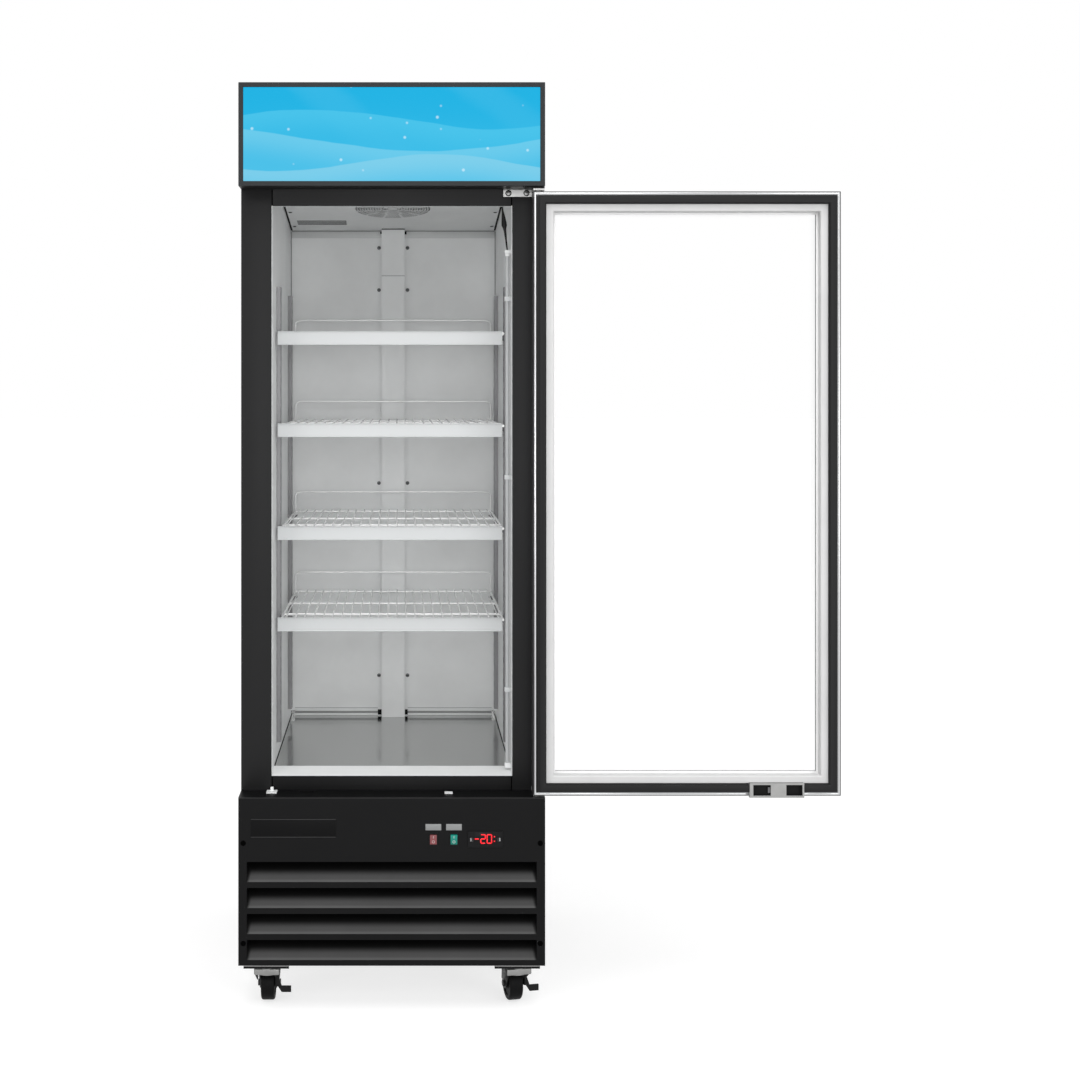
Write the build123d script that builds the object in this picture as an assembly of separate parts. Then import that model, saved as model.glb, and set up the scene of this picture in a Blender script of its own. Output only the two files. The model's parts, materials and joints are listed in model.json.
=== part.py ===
from build123d import *
import os

# Upright glass door freezer, in millimetres.
# The origin is on the floor, midway across the cabinet and below its front face.
# +X is to the viewer's right, +Y runs from the face into the cabinet and +Z is up.

# Heights, stacked from the floor up
CASTER_HEIGHT = 102.0
PANEL_HEIGHT = 376.0
SILL_HEIGHT = 32.6
SILL_RISE = 9.4
SHELF_GAPS = (340.0, 212.0, 239.0, 214.0, 282.0)
HEAD_HEIGHT = 38.0
SIGN_HEIGHT = 232.0
COOLER_HEIGHT = 184.0
FLOOR_WALL = 80.0

# Widths and depths
WIDTH = 686.0
WALL = 70.6
FRONT_DEPTH = 62.0
INNER_DEPTH = 600.0
REAR_WALL = 72.0

# Sheets and linings
SHEET = 1.2
FACE_SHEET = 1.5
LINER_SHEET = 1.0
STRIP = 3.0
STRIP_DEPTH = 56.0
TOP_STRIP_DEPTH = 12.0
UPSTAND_HEIGHT = 14.0
DUCT_WIDTH = 61.0
DUCT_PROUD = 25.0
DUCT_FOOT = 3.0
DUCT_SEAM_DROP = 118.0

# Clearances
RUNNING_FIT = 0.05
SWIVEL_GAP = 0.3
KEY_GAP = 0.3

# Shelves and what carries them
STANDARD_WIDTH = 25.0
STANDARD_PROUD = 10.0
STANDARD_FOOT = 40.0
STANDARD_HEAD = 176.0
STANDARD_FRONT = 120.0
STANDARD_REAR = 490.0
SHELF_SIDE_GAP = 1.4
SHELF_FRONT = 75.0
SHELF_REAR_GAP = 3.0
WIRE_RADIUS = 1.5
ROD_RADIUS = 3.0
GUARD_RADIUS = 2.0
GUARD_HEIGHT = 48.0
WIRE_PITCH = 21.5
WIRE_MARGIN = 12.0
CROSS_ROD_STEPS = (87.0, 269.0)
CLIP_LENGTH = 12.0
CLIP_REACH = 14.0
CLIP_DROP = 12.0
CLIP_LIP = 3.0
STRIP_TALL = 32.0
STRIP_PLATE = 1.5
STRIP_LIP = 4.0
STRIP_SHIFT = -5.0

# Cooler behind the ceiling cover
COVER_SHEET = 1.2
COVER_GAP = 5.0
COVER_FLANGE = 20.0
COVER_REAR = 4.0
COVER_SLOPE = 0.125
GRILLE_Y = 360.0
GRILLE_RADIUS = 100.0
GRILLE_RINGS = (36.0, 69.0)
GRILLE_BAR = 14.0
GRILLE_RIB = 8.0
GRILLE_SIDES = 24
VENT_SIDE = 23.0
VENT_WIDE = 128.0
VENT_Y = 484.0
VENT_SLOT = 6.0
VENT_PITCH = 11.0
VENT_COUNT = 5
COIL_SIDE = 47.4
COIL_FRONT = 30.0
COIL_DEEP = 215.0
COIL_TALL = 88.0
COIL_FOOT = 15.0
COIL_PLATE = 3.0

# Fans
BLADE_COUNT = 5
BLADE_SHEET = 2.0
BLADE_PITCH = 30.0
BLADE_CHORD = 42.0
SHAFT_RADIUS = 3.0
SHAFT_SEAT = 24.0
COOLER_FAN_RADIUS = 104.0
COOLER_FAN_RISE = 68.0
COOLER_HUB = (28.0, 24.0)
COOLER_MOTOR = (72.0, 60.0)
COOLER_STEM = 24.0
COOLER_FLANGE = (70.0, 3.0)
CONDENSER_FAN_RADIUS = 118.0
CONDENSER_FAN_BACK = 55.0
CONDENSER_FAN_RISE = 158.0
CONDENSER_HUB = (30.0, 26.0)
CONDENSER_MOTOR = (80.0, 64.0)
MOTOR_GAP = 8.0
MOTOR_STAND = 60.0

# Lamps
LAMP_RADIUS = 4.5
LAMP_OFF_WALL = 7.4
LAMP_Y = 38.0
LAMP_FOOT = 12.0
LAMP_HEAD = 111.0
HOLDER_WIDTH = 12.0
HOLDER_REACH = 13.4
FOOT_TALL = 12.0
HEAD_TALL = 14.0
LEAD_RADIUS = 1.8
LEAD_LEAN = 11.4
PLUG_RADIUS = 6.4
PLUG_DROP = 41.0
PLUG_TAPER = 33.0
PLUG_NECK = 10.0
SIGN_LAMP_RADIUS = 8.0
SIGN_HOLDER = 20.0
SIGN_LAMP_SIDE = 43.0
SIGN_LAMP_BACK = 30.0

# Light box
BEZEL_WIDTH = 11.0
BEZEL_RIM = 5.0
BEZEL_LIP = 3.0
SIGN_SHEET = 3.0
SIGN_GAP = 0.3

# Louvred lower panel
LOUVRE_SIDE = 19.0
LOUVRE_COUNT = 4
LOUVRE_PITCH = 58.1
LOUVRE_OPENING = 44.7
LOUVRE_FOOT = 13.0
LOUVRE_DEPTH = 32.0
LOUVRE_RISE = 38.0

# Switches and controller, set in the lower panel below its ledge
CONTROLS_DROP = 93.0
SWITCH_INSETS = (250.0, 204.0)
SWITCH_FLANGE = (20.0, 29.0)
SWITCH_BODY = (18.0, 26.6)
SWITCH_POCKET = (15.6, 23.6)
SWITCH_PROUD = 1.5
SWITCH_DEEP = 28.0
POCKET_DEEP = 10.0
ROCKER_PIN = 1.5
ROCKER_PIN_BACK = 3.0
ROCKER_SIDE = 0.3
ROCKER_HALF = 10.4
ROCKER_CROWN = 4.0
ROCKER_NOSE = 6.5
ROCKER_BACK = 2.5
ROCKER_TILT = 8.0
CONTROLLER_INSET = 134.0
CONTROLLER_FACE = (78.0, 35.0)
CONTROLLER_BODY = (71.0, 29.0)
CONTROLLER_PROUD = 3.0
CONTROLLER_DEEP = 60.0
KEY_OFFSET = 31.0
KEY_SIZE = 8.4
KEY_PROUD = 0.6
KEY_TALL = 4.4
KEY_POCKET = 5.0

# Small fittings on the ledge
CATCH_INSET = 71.0
CATCH_BASE = (24.0, 26.0, 2.0)
CATCH_BACK = 3.0
CATCH_POST = (7.0, 7.0, 9.5)
SENSOR_INSET = 215.0
SENSOR_SIZE = (18.0, 12.0, 3.0)
SENSOR_BACK = 20.0

# Door, sized by its gaps to the ledge below and the light box above
DOOR_GAP = 4.7
HINGE_GAP = 12.6
DOOR_THICK = 50.0
DOOR_REST_ANGLE = 180.0
STILE = 28.0
GLASS_LAP = 45.0
OUTER_LIP = 4.0
PANE = 4.0
PANE_SPACE = 12.0
PANE_INSET = 30.0
SPACER_INSET = 32.0
SPACER_WIDTH = 8.0
GLAZING_BEVEL = 2.0
GASKET_INSET = 8.0
GASKET_BASE = 5.5
GASKET_TIP_INSET = (12.0, 26.0)
GASKET_GAP = 0.5
PULL_INSET = (8.0, 24.0)
PULL_DEEP = 16.0
PULL_END = 60.0

# Hinges
PIVOT_INSET = 13.0
PIVOT_BACK = 24.0
PIN_RADIUS = 5.0
PIN_LENGTH = 18.0
PIN_END_GAP = 1.0
ARM_WIDTH = 26.0
TOP_ARM = 5.0
TOP_ARM_GAP = 4.0
LOW_ARM = 3.2
HINGE_PLATE = 3.0
TOP_PLATE_WIDE = 90.0
TOP_PLATE_TALL = 17.0
LOW_PLATE_TALL = 10.0

# Door lock
LOCK_FROM_LATCH = 84.0
LOCK_LENGTH = 122.0
LOCK_DROP = 2.0
LOCK_TALL = 32.3
LOCK_PROUD = 10.5
LOCK_WALL = 2.0
LOCK_WEB = 35.0
LOCK_END = 8.5
LOCK_CENTRE = 57.5
LOCK_SIDE_GAP = 1.0
BARREL_RADIUS = 8.0
BARREL_PROUD = 1.0
KEYWAY = (1.6, 9.0, 2.0)
CAM = (12.0, 24.0, 3.0)
CAM_BACK = 3.0
CAM_SLOT_GAP = 1.5

# Casters
CASTER_INSET = 62.0
FRONT_CASTER_Y = -16.0
REAR_CASTER_INSET = 112.0
FRONT_RIGHT_TURN = 11.5
CASTER_PLATE = (101.0, 80.0, 6.5)
CASTER_BOLT_PLACE = (38.0, 29.0)
BOLT_ACROSS = 10.0
BOLT_TALL = 4.0
KINGPIN_RADIUS = 6.0
CROWN_RADIUS = 28.5
CROWN_TALL = 16.0
CROWN_SIDES = 24
SKIRT_TALL = 6.0
SKIRT_BACK = 5.0
CASTER_HEAD = 27.0
WHEEL_WIDTH = 31.0
WHEEL_ROUND = 7.0
WHEEL_SIDES = 40
TRAIL = 28.0
FORK_GAP = 1.0
FORK_SHEET = 3.0
FORK_EYE = 11.0
AXLE_RADIUS = 5.0
NUT_ACROSS = 13.0
NUT_TALL = 4.5
LEVER_SHEET = 3.0
LEVER_EYE = 9.0
LEVER_TOP = 66.0
PEDAL_REACH = 53.0
PEDAL_LOW = 26.0
PEDAL_TALL = 14.0
PEDAL_SHEET = 4.0

# Machinery below the insulated floor
PAN_SHEET = 2.0
PAN_LIP = 25.0
COMPRESSOR_INSET = (141.8, 272.0)
COMPRESSOR_RADIUS = 85.0
COMPRESSOR_TALL = 190.0
COMPRESSOR_ROUND = 34.0
COMPRESSOR_SIDES = 32
COMPRESSOR_PLATE = (210.0, 150.0, 4.0)
COMPRESSOR_FOOT = (26.0, 14.0)
CONDENSER_SIDES = (91.8, 171.8)
CONDENSER_Y = (40.0, 95.0)
CONDENSER_TALL = 280.0
CONDENSER_PLATE = 3.0
TRAY_SIDE = 31.8
TRAY_REAR = 72.0
TRAY_WIDE = 180.0
TRAY_DEEP = 270.0
TRAY_TALL = 55.0
TRAY_WALL = 2.5
GRILLE_MARGIN = 60.0
REAR_SLOT = 10.0
REAR_SLOT_PITCH = 28.0
REAR_SLOT_COUNT = 8

# Levels and edges that follow from the sizes above
LEDGE_Z = CASTER_HEIGHT + PANEL_HEIGHT
SILL_Z = LEDGE_Z + SILL_HEIGHT
FLOOR_Z = SILL_Z + SILL_RISE
CEILING_Z = FLOOR_Z + sum(SHELF_GAPS)
SIGN_Z = CEILING_Z + HEAD_HEIGHT
TOP_Z = SIGN_Z + SIGN_HEIGHT
UNDER_Z = FLOOR_Z - FLOOR_WALL
COOLER_TOP = CEILING_Z + COOLER_HEIGHT
PAN_TOP = CASTER_HEIGHT + PAN_SHEET
HALF = WIDTH / 2
INSIDE = HALF - SHEET
OPENING_HALF = HALF - WALL
FRONT_Y = -FRONT_DEPTH
BACK_Y = INNER_DEPTH + REAR_WALL
DUCT_FRONT = INNER_DEPTH - DUCT_PROUD
SHELF_REAR = DUCT_FRONT - SHELF_REAR_GAP
STANDARD_FACE = OPENING_HALF - STANDARD_PROUD
SHELF_HALF = STANDARD_FACE - SHELF_SIDE_GAP
SHELF_TOPS = [FLOOR_Z + sum(SHELF_GAPS[: i + 1]) for i in range(len(SHELF_GAPS) - 1)][::-1]
DOOR_BOTTOM = LEDGE_Z + DOOR_GAP
DOOR_TOP = SIGN_Z - HINGE_GAP
DOOR_BACK = FRONT_Y + DOOR_THICK
GLASS_FRONT = FRONT_Y + OUTER_LIP
GLASS_BACK = GLASS_FRONT + 2 * PANE + PANE_SPACE
PIVOT_X = HALF - PIVOT_INSET
PIVOT_Y = FRONT_Y + PIVOT_BACK
LOUVRE_HALF = HALF - LOUVRE_SIDE
SWITCH_X = [HALF - inset_x for inset_x in SWITCH_INSETS]
CONTROLLER_X = HALF - CONTROLLER_INSET
CATCH_X = CATCH_INSET - HALF
SENSOR_X = HALF - SENSOR_INSET
CASTER_X = HALF - CASTER_INSET
REAR_CASTER_Y = BACK_Y - REAR_CASTER_INSET
CONDENSER_X = (CONDENSER_SIDES[0] - INSIDE, INSIDE - CONDENSER_SIDES[1])
CONDENSER_FAN_X = sum(CONDENSER_X) / 2
CONDENSER_FAN_Y = CONDENSER_Y[1] + CONDENSER_FAN_BACK
LOCK_X = LOCK_FROM_LATCH + LOCK_CENTRE - HALF
LOCK_Z = DOOR_BOTTOM + STILE / 2
CONTROLS_Z = LEDGE_Z - CONTROLS_DROP
WHEEL_RADIUS = (CASTER_HEIGHT - CASTER_HEAD) / 2
WHEEL_HALF = WHEEL_WIDTH / 2
LEG_INNER = WHEEL_HALF + FORK_GAP
LEG_OUTER = LEG_INNER + FORK_SHEET
LEVER_INNER = LEG_OUTER + SWIVEL_GAP
LEVER_OUTER = LEVER_INNER + LEVER_SHEET
CROWN_TOP = CASTER_HEIGHT - CASTER_PLATE[2] - SWIVEL_GAP
CROWN_BOTTOM = CROWN_TOP - CROWN_TALL


# Shapes used throughout


def block(x, y, z):
    """A box from its (low, high) pairs along X, Y and Z."""
    spans = (x, y, z)
    centre = [(low + high) / 2 for low, high in spans]
    size = [high - low for low, high in spans]
    return Pos(*centre) * Box(*size)


def both(low, high):
    """The pair of X spans that mirror each other about the middle."""
    return ((-high, -low), (low, high))


def bar_x(points, x):
    """A bar along X with its section drawn as (y, z) points."""
    section = Plane.YZ.offset(x[0]) * Polygon(*points, align=None)
    return extrude(section, amount=x[1] - x[0], dir=(1, 0, 0))


def bar_y(points, y):
    """A bar along Y with its section drawn as (x, z) points."""
    section = Plane.XZ.offset(-y[0]) * Polygon(*points, align=None)
    return extrude(section, amount=y[1] - y[0], dir=(0, 1, 0))


def round_x(radius, x, y, z):
    return Pos((x[0] + x[1]) / 2, y, z) * Rot(0, 90, 0) * Cylinder(radius, x[1] - x[0])


def round_y(radius, x, y, z):
    return Pos(x, (y[0] + y[1]) / 2, z) * Rot(90, 0, 0) * Cylinder(radius, y[1] - y[0])


def round_z(radius, x, y, z):
    return Pos(x, y, (z[0] + z[1]) / 2) * Cylinder(radius, z[1] - z[0])


def post(wide, z):
    """A square post about the Z axis."""
    return block((-wide / 2, wide / 2), (-wide / 2, wide / 2), z)


def octagon(radius):
    """A wire's section: eight flats, two of them level, so that crossing wires bear on each other."""
    return RegularPolygon(radius, 8, major_radius=False, rotation=22.5)


def wire_x(radius, x, y, z):
    return extrude(Plane.YZ.offset(x[0]) * Pos(y, z) * octagon(radius), amount=x[1] - x[0])


def wire_y(radius, x, y, z):
    return extrude(Plane.XZ.offset(-y[1]) * Pos(x, z) * octagon(radius), amount=y[1] - y[0])


def upright_wire(radius, x, y, z):
    return extrude(Plane.XY.offset(z[0]) * Pos(x, y) * octagon(radius), amount=z[1] - z[0])


def hexagon_x(across, x, y, z):
    """A nut along X."""
    section = RegularPolygon(across / 2, 6, major_radius=False)
    return extrude(Plane.YZ.offset(x[0]) * Pos(y, z) * section, amount=x[1] - x[0])


def fan_blades(hub_radius, tip_radius, chord):
    """Pitched blades round +Z, rooted inside the hub."""
    root = hub_radius - 2 * BLADE_SHEET
    length = tip_radius - root
    middle = (tip_radius + root) / 2
    blade = Pos(middle, 0, 0) * Rot(BLADE_PITCH, 0, 0) * Box(length, chord, BLADE_SHEET)
    return [Rot(0, 0, 360 * i / BLADE_COUNT) * blade for i in range(BLADE_COUNT)]


def fan(hub, tip_radius):
    """A fan on its shaft about +Z, the shaft running up into a motor MOTOR_GAP above the hub."""
    hub_radius, hub_tall = hub
    body = extrude(RegularPolygon(hub_radius, 2 * BLADE_COUNT), hub_tall / 2, both=True)
    body += fan_blades(hub_radius, tip_radius, BLADE_CHORD)
    shaft_z = (hub_tall / 2, hub_tall / 2 + MOTOR_GAP + SHAFT_SEAT)
    return body + round_z(SHAFT_RADIUS, 0, 0, shaft_z)


def motor_bore(hub_tall):
    """The bearing hole that a fan's shaft runs in, in the fan's own frame."""
    low = hub_tall / 2 + MOTOR_GAP
    return round_z(SHAFT_RADIUS + RUNNING_FIT, 0, 0, (low, low + SHAFT_SEAT + PIN_END_GAP))


# Cabinet


def cabinet_shell():
    side_z = (CASTER_HEIGHT, TOP_Z - SHEET)
    sides = [block(x, (0, BACK_Y), side_z) for x in both(INSIDE, HALF)]
    top = block((-HALF, HALF), (0, BACK_Y), (TOP_Z - SHEET, TOP_Z))
    underside = block((-INSIDE, INSIDE), (FACE_SHEET, BACK_Y - SHEET), (UNDER_Z, UNDER_Z + SHEET))
    return sides + [top, underside]


def rear_panel():
    return block((-INSIDE, INSIDE), (BACK_Y - SHEET, BACK_Y), (UNDER_Z, TOP_Z - SHEET))


def rear_grille():
    plate = block((-INSIDE, INSIDE), (BACK_Y - SHEET, BACK_Y), (CASTER_HEIGHT, UNDER_Z))
    slot_x = (GRILLE_MARGIN - INSIDE, INSIDE - GRILLE_MARGIN)
    middle = (CASTER_HEIGHT + UNDER_Z) / 2
    for i in range(REAR_SLOT_COUNT):
        low = middle + (i - REAR_SLOT_COUNT / 2) * REAR_SLOT_PITCH
        plate -= block(slot_x, (BACK_Y - 2 * SHEET, BACK_Y + SHEET), (low, low + REAR_SLOT))
    return plate


def foam_insulation():
    """The foam between shell and liner, hollowed for the cold space, the cooler and the strips."""
    lined = OPENING_HALF + LINER_SHEET
    framed = OPENING_HALF + STRIP
    rear = INNER_DEPTH + LINER_SHEET
    cooler_top = COOLER_TOP + LINER_SHEET
    body = block((-INSIDE, INSIDE), (FACE_SHEET, BACK_Y - SHEET), (UNDER_Z + SHEET, TOP_Z - SHEET))
    body -= block((-lined, lined), (STRIP_DEPTH, rear), (FLOOR_Z - LINER_SHEET, cooler_top))
    body -= block((-lined, lined), (TOP_STRIP_DEPTH, rear), (CEILING_Z, cooler_top))
    body -= block((-framed, framed), (FACE_SHEET, STRIP_DEPTH), (SILL_Z - STRIP, CEILING_Z))
    head_z = (CEILING_Z, CEILING_Z + STRIP)
    body -= block((-OPENING_HALF, OPENING_HALF), (FACE_SHEET, TOP_STRIP_DEPTH), head_z)
    return body


def front_frame():
    face = (0, FACE_SHEET)
    tall = (UNDER_Z, TOP_Z - SHEET)
    stiles = [block(x, face, tall) for x in both(OPENING_HALF, INSIDE)]
    across = (-OPENING_HALF, OPENING_HALF)
    head = block(across, face, (CEILING_Z, TOP_Z - SHEET))
    sill = block(across, face, (UNDER_Z, SILL_Z))
    return stiles + [head, sill]


def breaker_strips():
    side_z = (SILL_Z - STRIP, CEILING_Z)
    sides = [
        block(x, (FACE_SHEET, STRIP_DEPTH), side_z)
        for x in both(OPENING_HALF, OPENING_HALF + STRIP)
    ]
    across = (-OPENING_HALF, OPENING_HALF)
    head = block(across, (FACE_SHEET, TOP_STRIP_DEPTH), (CEILING_Z, CEILING_Z + STRIP))
    sill_section = [
        (FACE_SHEET, SILL_Z - STRIP),
        (STRIP_DEPTH, SILL_Z - STRIP),
        (STRIP_DEPTH, FLOOR_Z),
        (FACE_SHEET, SILL_Z),
    ]
    return sides + [head, bar_x(sill_section, across)]


def inner_liner():
    side_section = [
        (STRIP_DEPTH, FLOOR_Z - LINER_SHEET),
        (INNER_DEPTH, FLOOR_Z - LINER_SHEET),
        (INNER_DEPTH, COOLER_TOP),
        (TOP_STRIP_DEPTH, COOLER_TOP),
        (TOP_STRIP_DEPTH, CEILING_Z),
        (STRIP_DEPTH, CEILING_Z),
    ]
    lined = OPENING_HALF + LINER_SHEET
    rear_y = INNER_DEPTH + LINER_SHEET
    sides = [bar_x(side_section, x) for x in both(OPENING_HALF, lined)]
    rear = block((-lined, lined), (INNER_DEPTH, rear_y), (FLOOR_Z - LINER_SHEET, COOLER_TOP))
    roof_z = (COOLER_TOP, COOLER_TOP + LINER_SHEET)
    roof = block((-lined, lined), (TOP_STRIP_DEPTH, rear_y), roof_z)
    front_y = (TOP_STRIP_DEPTH, TOP_STRIP_DEPTH + LINER_SHEET)
    front = block((-OPENING_HALF, OPENING_HALF), front_y, (CEILING_Z, COOLER_TOP))
    return sides + [rear, roof, front]


def liner_floor():
    across = (-OPENING_HALF, OPENING_HALF)
    plate = block(across, (STRIP_DEPTH, INNER_DEPTH), (FLOOR_Z - LINER_SHEET, FLOOR_Z))
    upstand_z = (FLOOR_Z, FLOOR_Z + UPSTAND_HEIGHT)
    for x in both(DUCT_WIDTH / 2 + LINER_SHEET, OPENING_HALF):
        plate += block(x, (INNER_DEPTH - LINER_SHEET, INNER_DEPTH), upstand_z)
    return plate


def rear_duct_cover():
    """A folded channel up the rear wall, in two lengths that meet at a seam, cut to the ceiling's fall."""
    half = DUCT_WIDTH / 2
    seam = CEILING_Z - DUCT_SEAM_DROP
    above = cover_bar((-half, half), (DUCT_FRONT, INNER_DEPTH), (0, COVER_FLANGE))
    lengths = []
    for z in ((FLOOR_Z + DUCT_FOOT, seam), (seam, cover_level(DUCT_FRONT))):
        channel = block((-half, half), (DUCT_FRONT, INNER_DEPTH), z)
        hollow_x = (SHEET - half, half - SHEET)
        channel -= block(hollow_x, (DUCT_FRONT + SHEET, INNER_DEPTH), z)
        lengths.append(channel - above)
    return lengths


# Shelves


def standard_spans():
    return [(y, y + STANDARD_WIDTH) for y in (STANDARD_FRONT, STANDARD_REAR)]


def shelf_standards():
    tall = (FLOOR_Z + STANDARD_FOOT, CEILING_Z - STANDARD_HEAD)
    sides = both(STANDARD_FACE, OPENING_HALF)
    return [block(x, y, tall) for x in sides for y in standard_spans()]


def shelf_clips():
    """Wedge clips on the standards, one under each shelf's side rod at each standard."""
    clips = []
    for top in SHELF_TOPS:
        under = top - 2 * WIRE_RADIUS - 2 * ROD_RADIUS
        for side in (-1, 1):
            section = [
                (side * STANDARD_FACE, under),
                (side * (STANDARD_FACE - CLIP_REACH), under),
                (side * (STANDARD_FACE - CLIP_REACH), under - CLIP_LIP),
                (side * STANDARD_FACE, under - CLIP_DROP),
            ]
            for low, high in standard_spans():
                middle = (low + high) / 2
                span = (middle - CLIP_LENGTH / 2, middle + CLIP_LENGTH / 2)
                clips.append(bar_y(section, span))
    return clips


def wire_shelf(top):
    """One welded wire shelf: its rim, cross rods, the wires that lie on them and the rear guard."""
    depth = (SHELF_FRONT, SHELF_REAR)
    rod_z = top - 2 * WIRE_RADIUS - ROD_RADIUS
    side_x = SHELF_HALF - ROD_RADIUS
    cross_x = (2 * ROD_RADIUS - SHELF_HALF, SHELF_HALF - 2 * ROD_RADIUS)
    rear_y = SHELF_REAR - ROD_RADIUS
    cross_ys = [SHELF_FRONT + ROD_RADIUS, rear_y]
    cross_ys += [SHELF_FRONT + ROD_RADIUS + step for step in CROSS_ROD_STEPS]
    gaps = int(2 * (SHELF_HALF - WIRE_MARGIN) / WIRE_PITCH)
    wire_xs = [(i - gaps / 2) * WIRE_PITCH for i in range(gaps + 1)]
    rail_z = top + GUARD_HEIGHT - GUARD_RADIUS
    pieces = [wire_y(ROD_RADIUS, x, depth, rod_z) for x in (-side_x, side_x)]
    pieces += [wire_x(ROD_RADIUS, cross_x, y, rod_z) for y in cross_ys]
    wire_z = (top - 2 * WIRE_RADIUS, top)
    pieces += [block((x - WIRE_RADIUS, x + WIRE_RADIUS), depth, wire_z) for x in wire_xs]
    post_z = (rod_z + ROD_RADIUS, rail_z - GUARD_RADIUS)
    pieces += [upright_wire(GUARD_RADIUS, x, rear_y, post_z) for x in (-side_x, side_x)]
    rail_x = (-side_x - GUARD_RADIUS, side_x + GUARD_RADIUS)
    pieces.append(wire_x(GUARD_RADIUS, rail_x, rear_y, rail_z))
    return pieces


def price_strips():
    """Plastic label holders along the shelves' front rods, with a lip above and below."""
    face = SHELF_FRONT - STRIP_PLATE
    lip = SHELF_FRONT - STRIP_LIP
    strips = []
    for top in SHELF_TOPS:
        low = top - STRIP_TALL
        section = [
            (SHELF_FRONT, top),
            (lip, top),
            (lip, top - STRIP_PLATE),
            (face, top - STRIP_PLATE),
            (face, low + STRIP_PLATE),
            (lip, low + STRIP_PLATE),
            (lip, low),
            (SHELF_FRONT, low),
        ]
        strips.append(bar_x(section, (STRIP_SHIFT - SHELF_HALF, STRIP_SHIFT + SHELF_HALF)))
    return strips


# Cooler in the roof


def cover_level(y):
    """The height of the sloping pan's underside, at a depth."""
    return CEILING_Z + COVER_REAR + COVER_SLOPE * (INNER_DEPTH - y)


def cover_bar(x, y, rise):
    """A bar along X that lies along the pan's slope, between two rises above its underside."""
    low, high = rise
    under = [(depth, cover_level(depth) + low) for depth in y]
    over = [(depth, cover_level(depth) + high) for depth in reversed(y)]
    return bar_x(under + over, x)


def grille_gaps():
    """The gaps between the grille's rings and ribs, as prisms through the pan."""
    half = GRILLE_BAR / 2
    gaps = RegularPolygon(GRILLE_RADIUS, GRILLE_SIDES)
    for radius in GRILLE_RINGS:
        gaps -= RegularPolygon(radius + half, GRILLE_SIDES) - RegularPolygon(radius - half, GRILLE_SIDES)
    for turn in (45, 135):
        gaps -= Rot(0, 0, turn) * Rectangle(2 * GRILLE_RADIUS, GRILLE_RIB)
    placed = Plane.XY.offset(CEILING_Z) * Pos(0, GRILLE_Y) * gaps
    return extrude(placed, amount=COOLER_HEIGHT, dir=(0, 0, 1))


def evaporator_cover():
    """The ceiling pan, falling to the rear, with a round fan grille and a block of return slots."""
    half = OPENING_HALF - COVER_GAP
    depth = (TOP_STRIP_DEPTH + LINER_SHEET, INNER_DEPTH)
    pan = cover_bar((-half, half), depth, (0, COVER_SHEET))
    for x in both(half - COVER_SHEET, half):
        pan += cover_bar(x, depth, (COVER_SHEET, COVER_SHEET + COVER_FLANGE))
    pan -= grille_gaps()
    vent_x = (VENT_SIDE - OPENING_HALF, VENT_SIDE + VENT_WIDE - OPENING_HALF)
    for i in range(VENT_COUNT):
        low = VENT_Y + i * VENT_PITCH
        pan -= block(vent_x, (low, low + VENT_SLOT), (CEILING_Z, COOLER_TOP))
    return pan


def evaporator_coil():
    """The finned block across the front of the cooler, its end plates standing on the pan."""
    half = OPENING_HALF - COIL_SIDE
    depth = (COIL_FRONT, COIL_FRONT + COIL_DEEP)
    low = cover_level(COIL_FRONT) + COVER_SHEET + COIL_FOOT
    top = low + COIL_TALL
    coil = block((-half, half), depth, (low, top))
    feet = [(y, cover_level(y) + COVER_SHEET) for y in depth]
    for x in both(half, half + COIL_PLATE):
        coil += bar_x(feet + [(y, top) for y in reversed(depth)], x)
    return coil


def cooler_fan_frame():
    return Pos(0, GRILLE_Y, CEILING_Z + COOLER_FAN_RISE)


def evaporator_fan():
    return cooler_fan_frame() * fan(COOLER_HUB, COOLER_FAN_RADIUS)


def evaporator_fan_motor():
    """The fan motor, hung on a stem from the cooler's roof."""
    wide, tall = COOLER_MOTOR
    low = COOLER_HUB[1] / 2 + MOTOR_GAP
    roof = COOLER_HEIGHT - COOLER_FAN_RISE
    flange_wide, flange_tall = COOLER_FLANGE
    motor = post(wide, (low, low + tall))
    motor += post(COOLER_STEM, (low + tall, roof))
    motor += post(flange_wide, (roof - flange_tall, roof))
    return cooler_fan_frame() * (motor - motor_bore(COOLER_HUB[1]))


# Lamps


def lamp_x():
    return OPENING_HALF - LAMP_OFF_WALL


def lamp_levels():
    """The heights of the tube's two ends."""
    return FLOOR_Z + LAMP_FOOT, CEILING_Z - LAMP_HEAD


def cabin_lamp():
    """The upright tube inside the opening and the two end holders that fix it to the side strip."""
    low, high = lamp_levels()
    tube = round_z(LAMP_RADIUS, lamp_x(), LAMP_Y, (low, high))
    holder_x = (OPENING_HALF - HOLDER_REACH, OPENING_HALF)
    holder_y = (LAMP_Y - HOLDER_WIDTH / 2, LAMP_Y + HOLDER_WIDTH / 2)
    foot = block(holder_x, holder_y, (low - FOOT_TALL, low))
    head = block(holder_x, holder_y, (high, high + HEAD_TALL))
    return [tube, foot, head]


def lead_x(z):
    """Where the leaning lead is across the cabinet, at a height."""
    low = lamp_levels()[1] + HEAD_TALL
    return lamp_x() - LEAD_LEAN * (z - low) / (CEILING_Z - low)


def lead_length(low, low_half, high, high_half):
    """A tapered length of the lead, as deep as its wider end."""
    section = [
        (lead_x(low) - low_half, low),
        (lead_x(low) + low_half, low),
        (lead_x(high) + high_half, high),
        (lead_x(high) - high_half, high),
    ]
    deep = max(low_half, high_half)
    return bar_y(section, (LAMP_Y - deep, LAMP_Y + deep))


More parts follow.
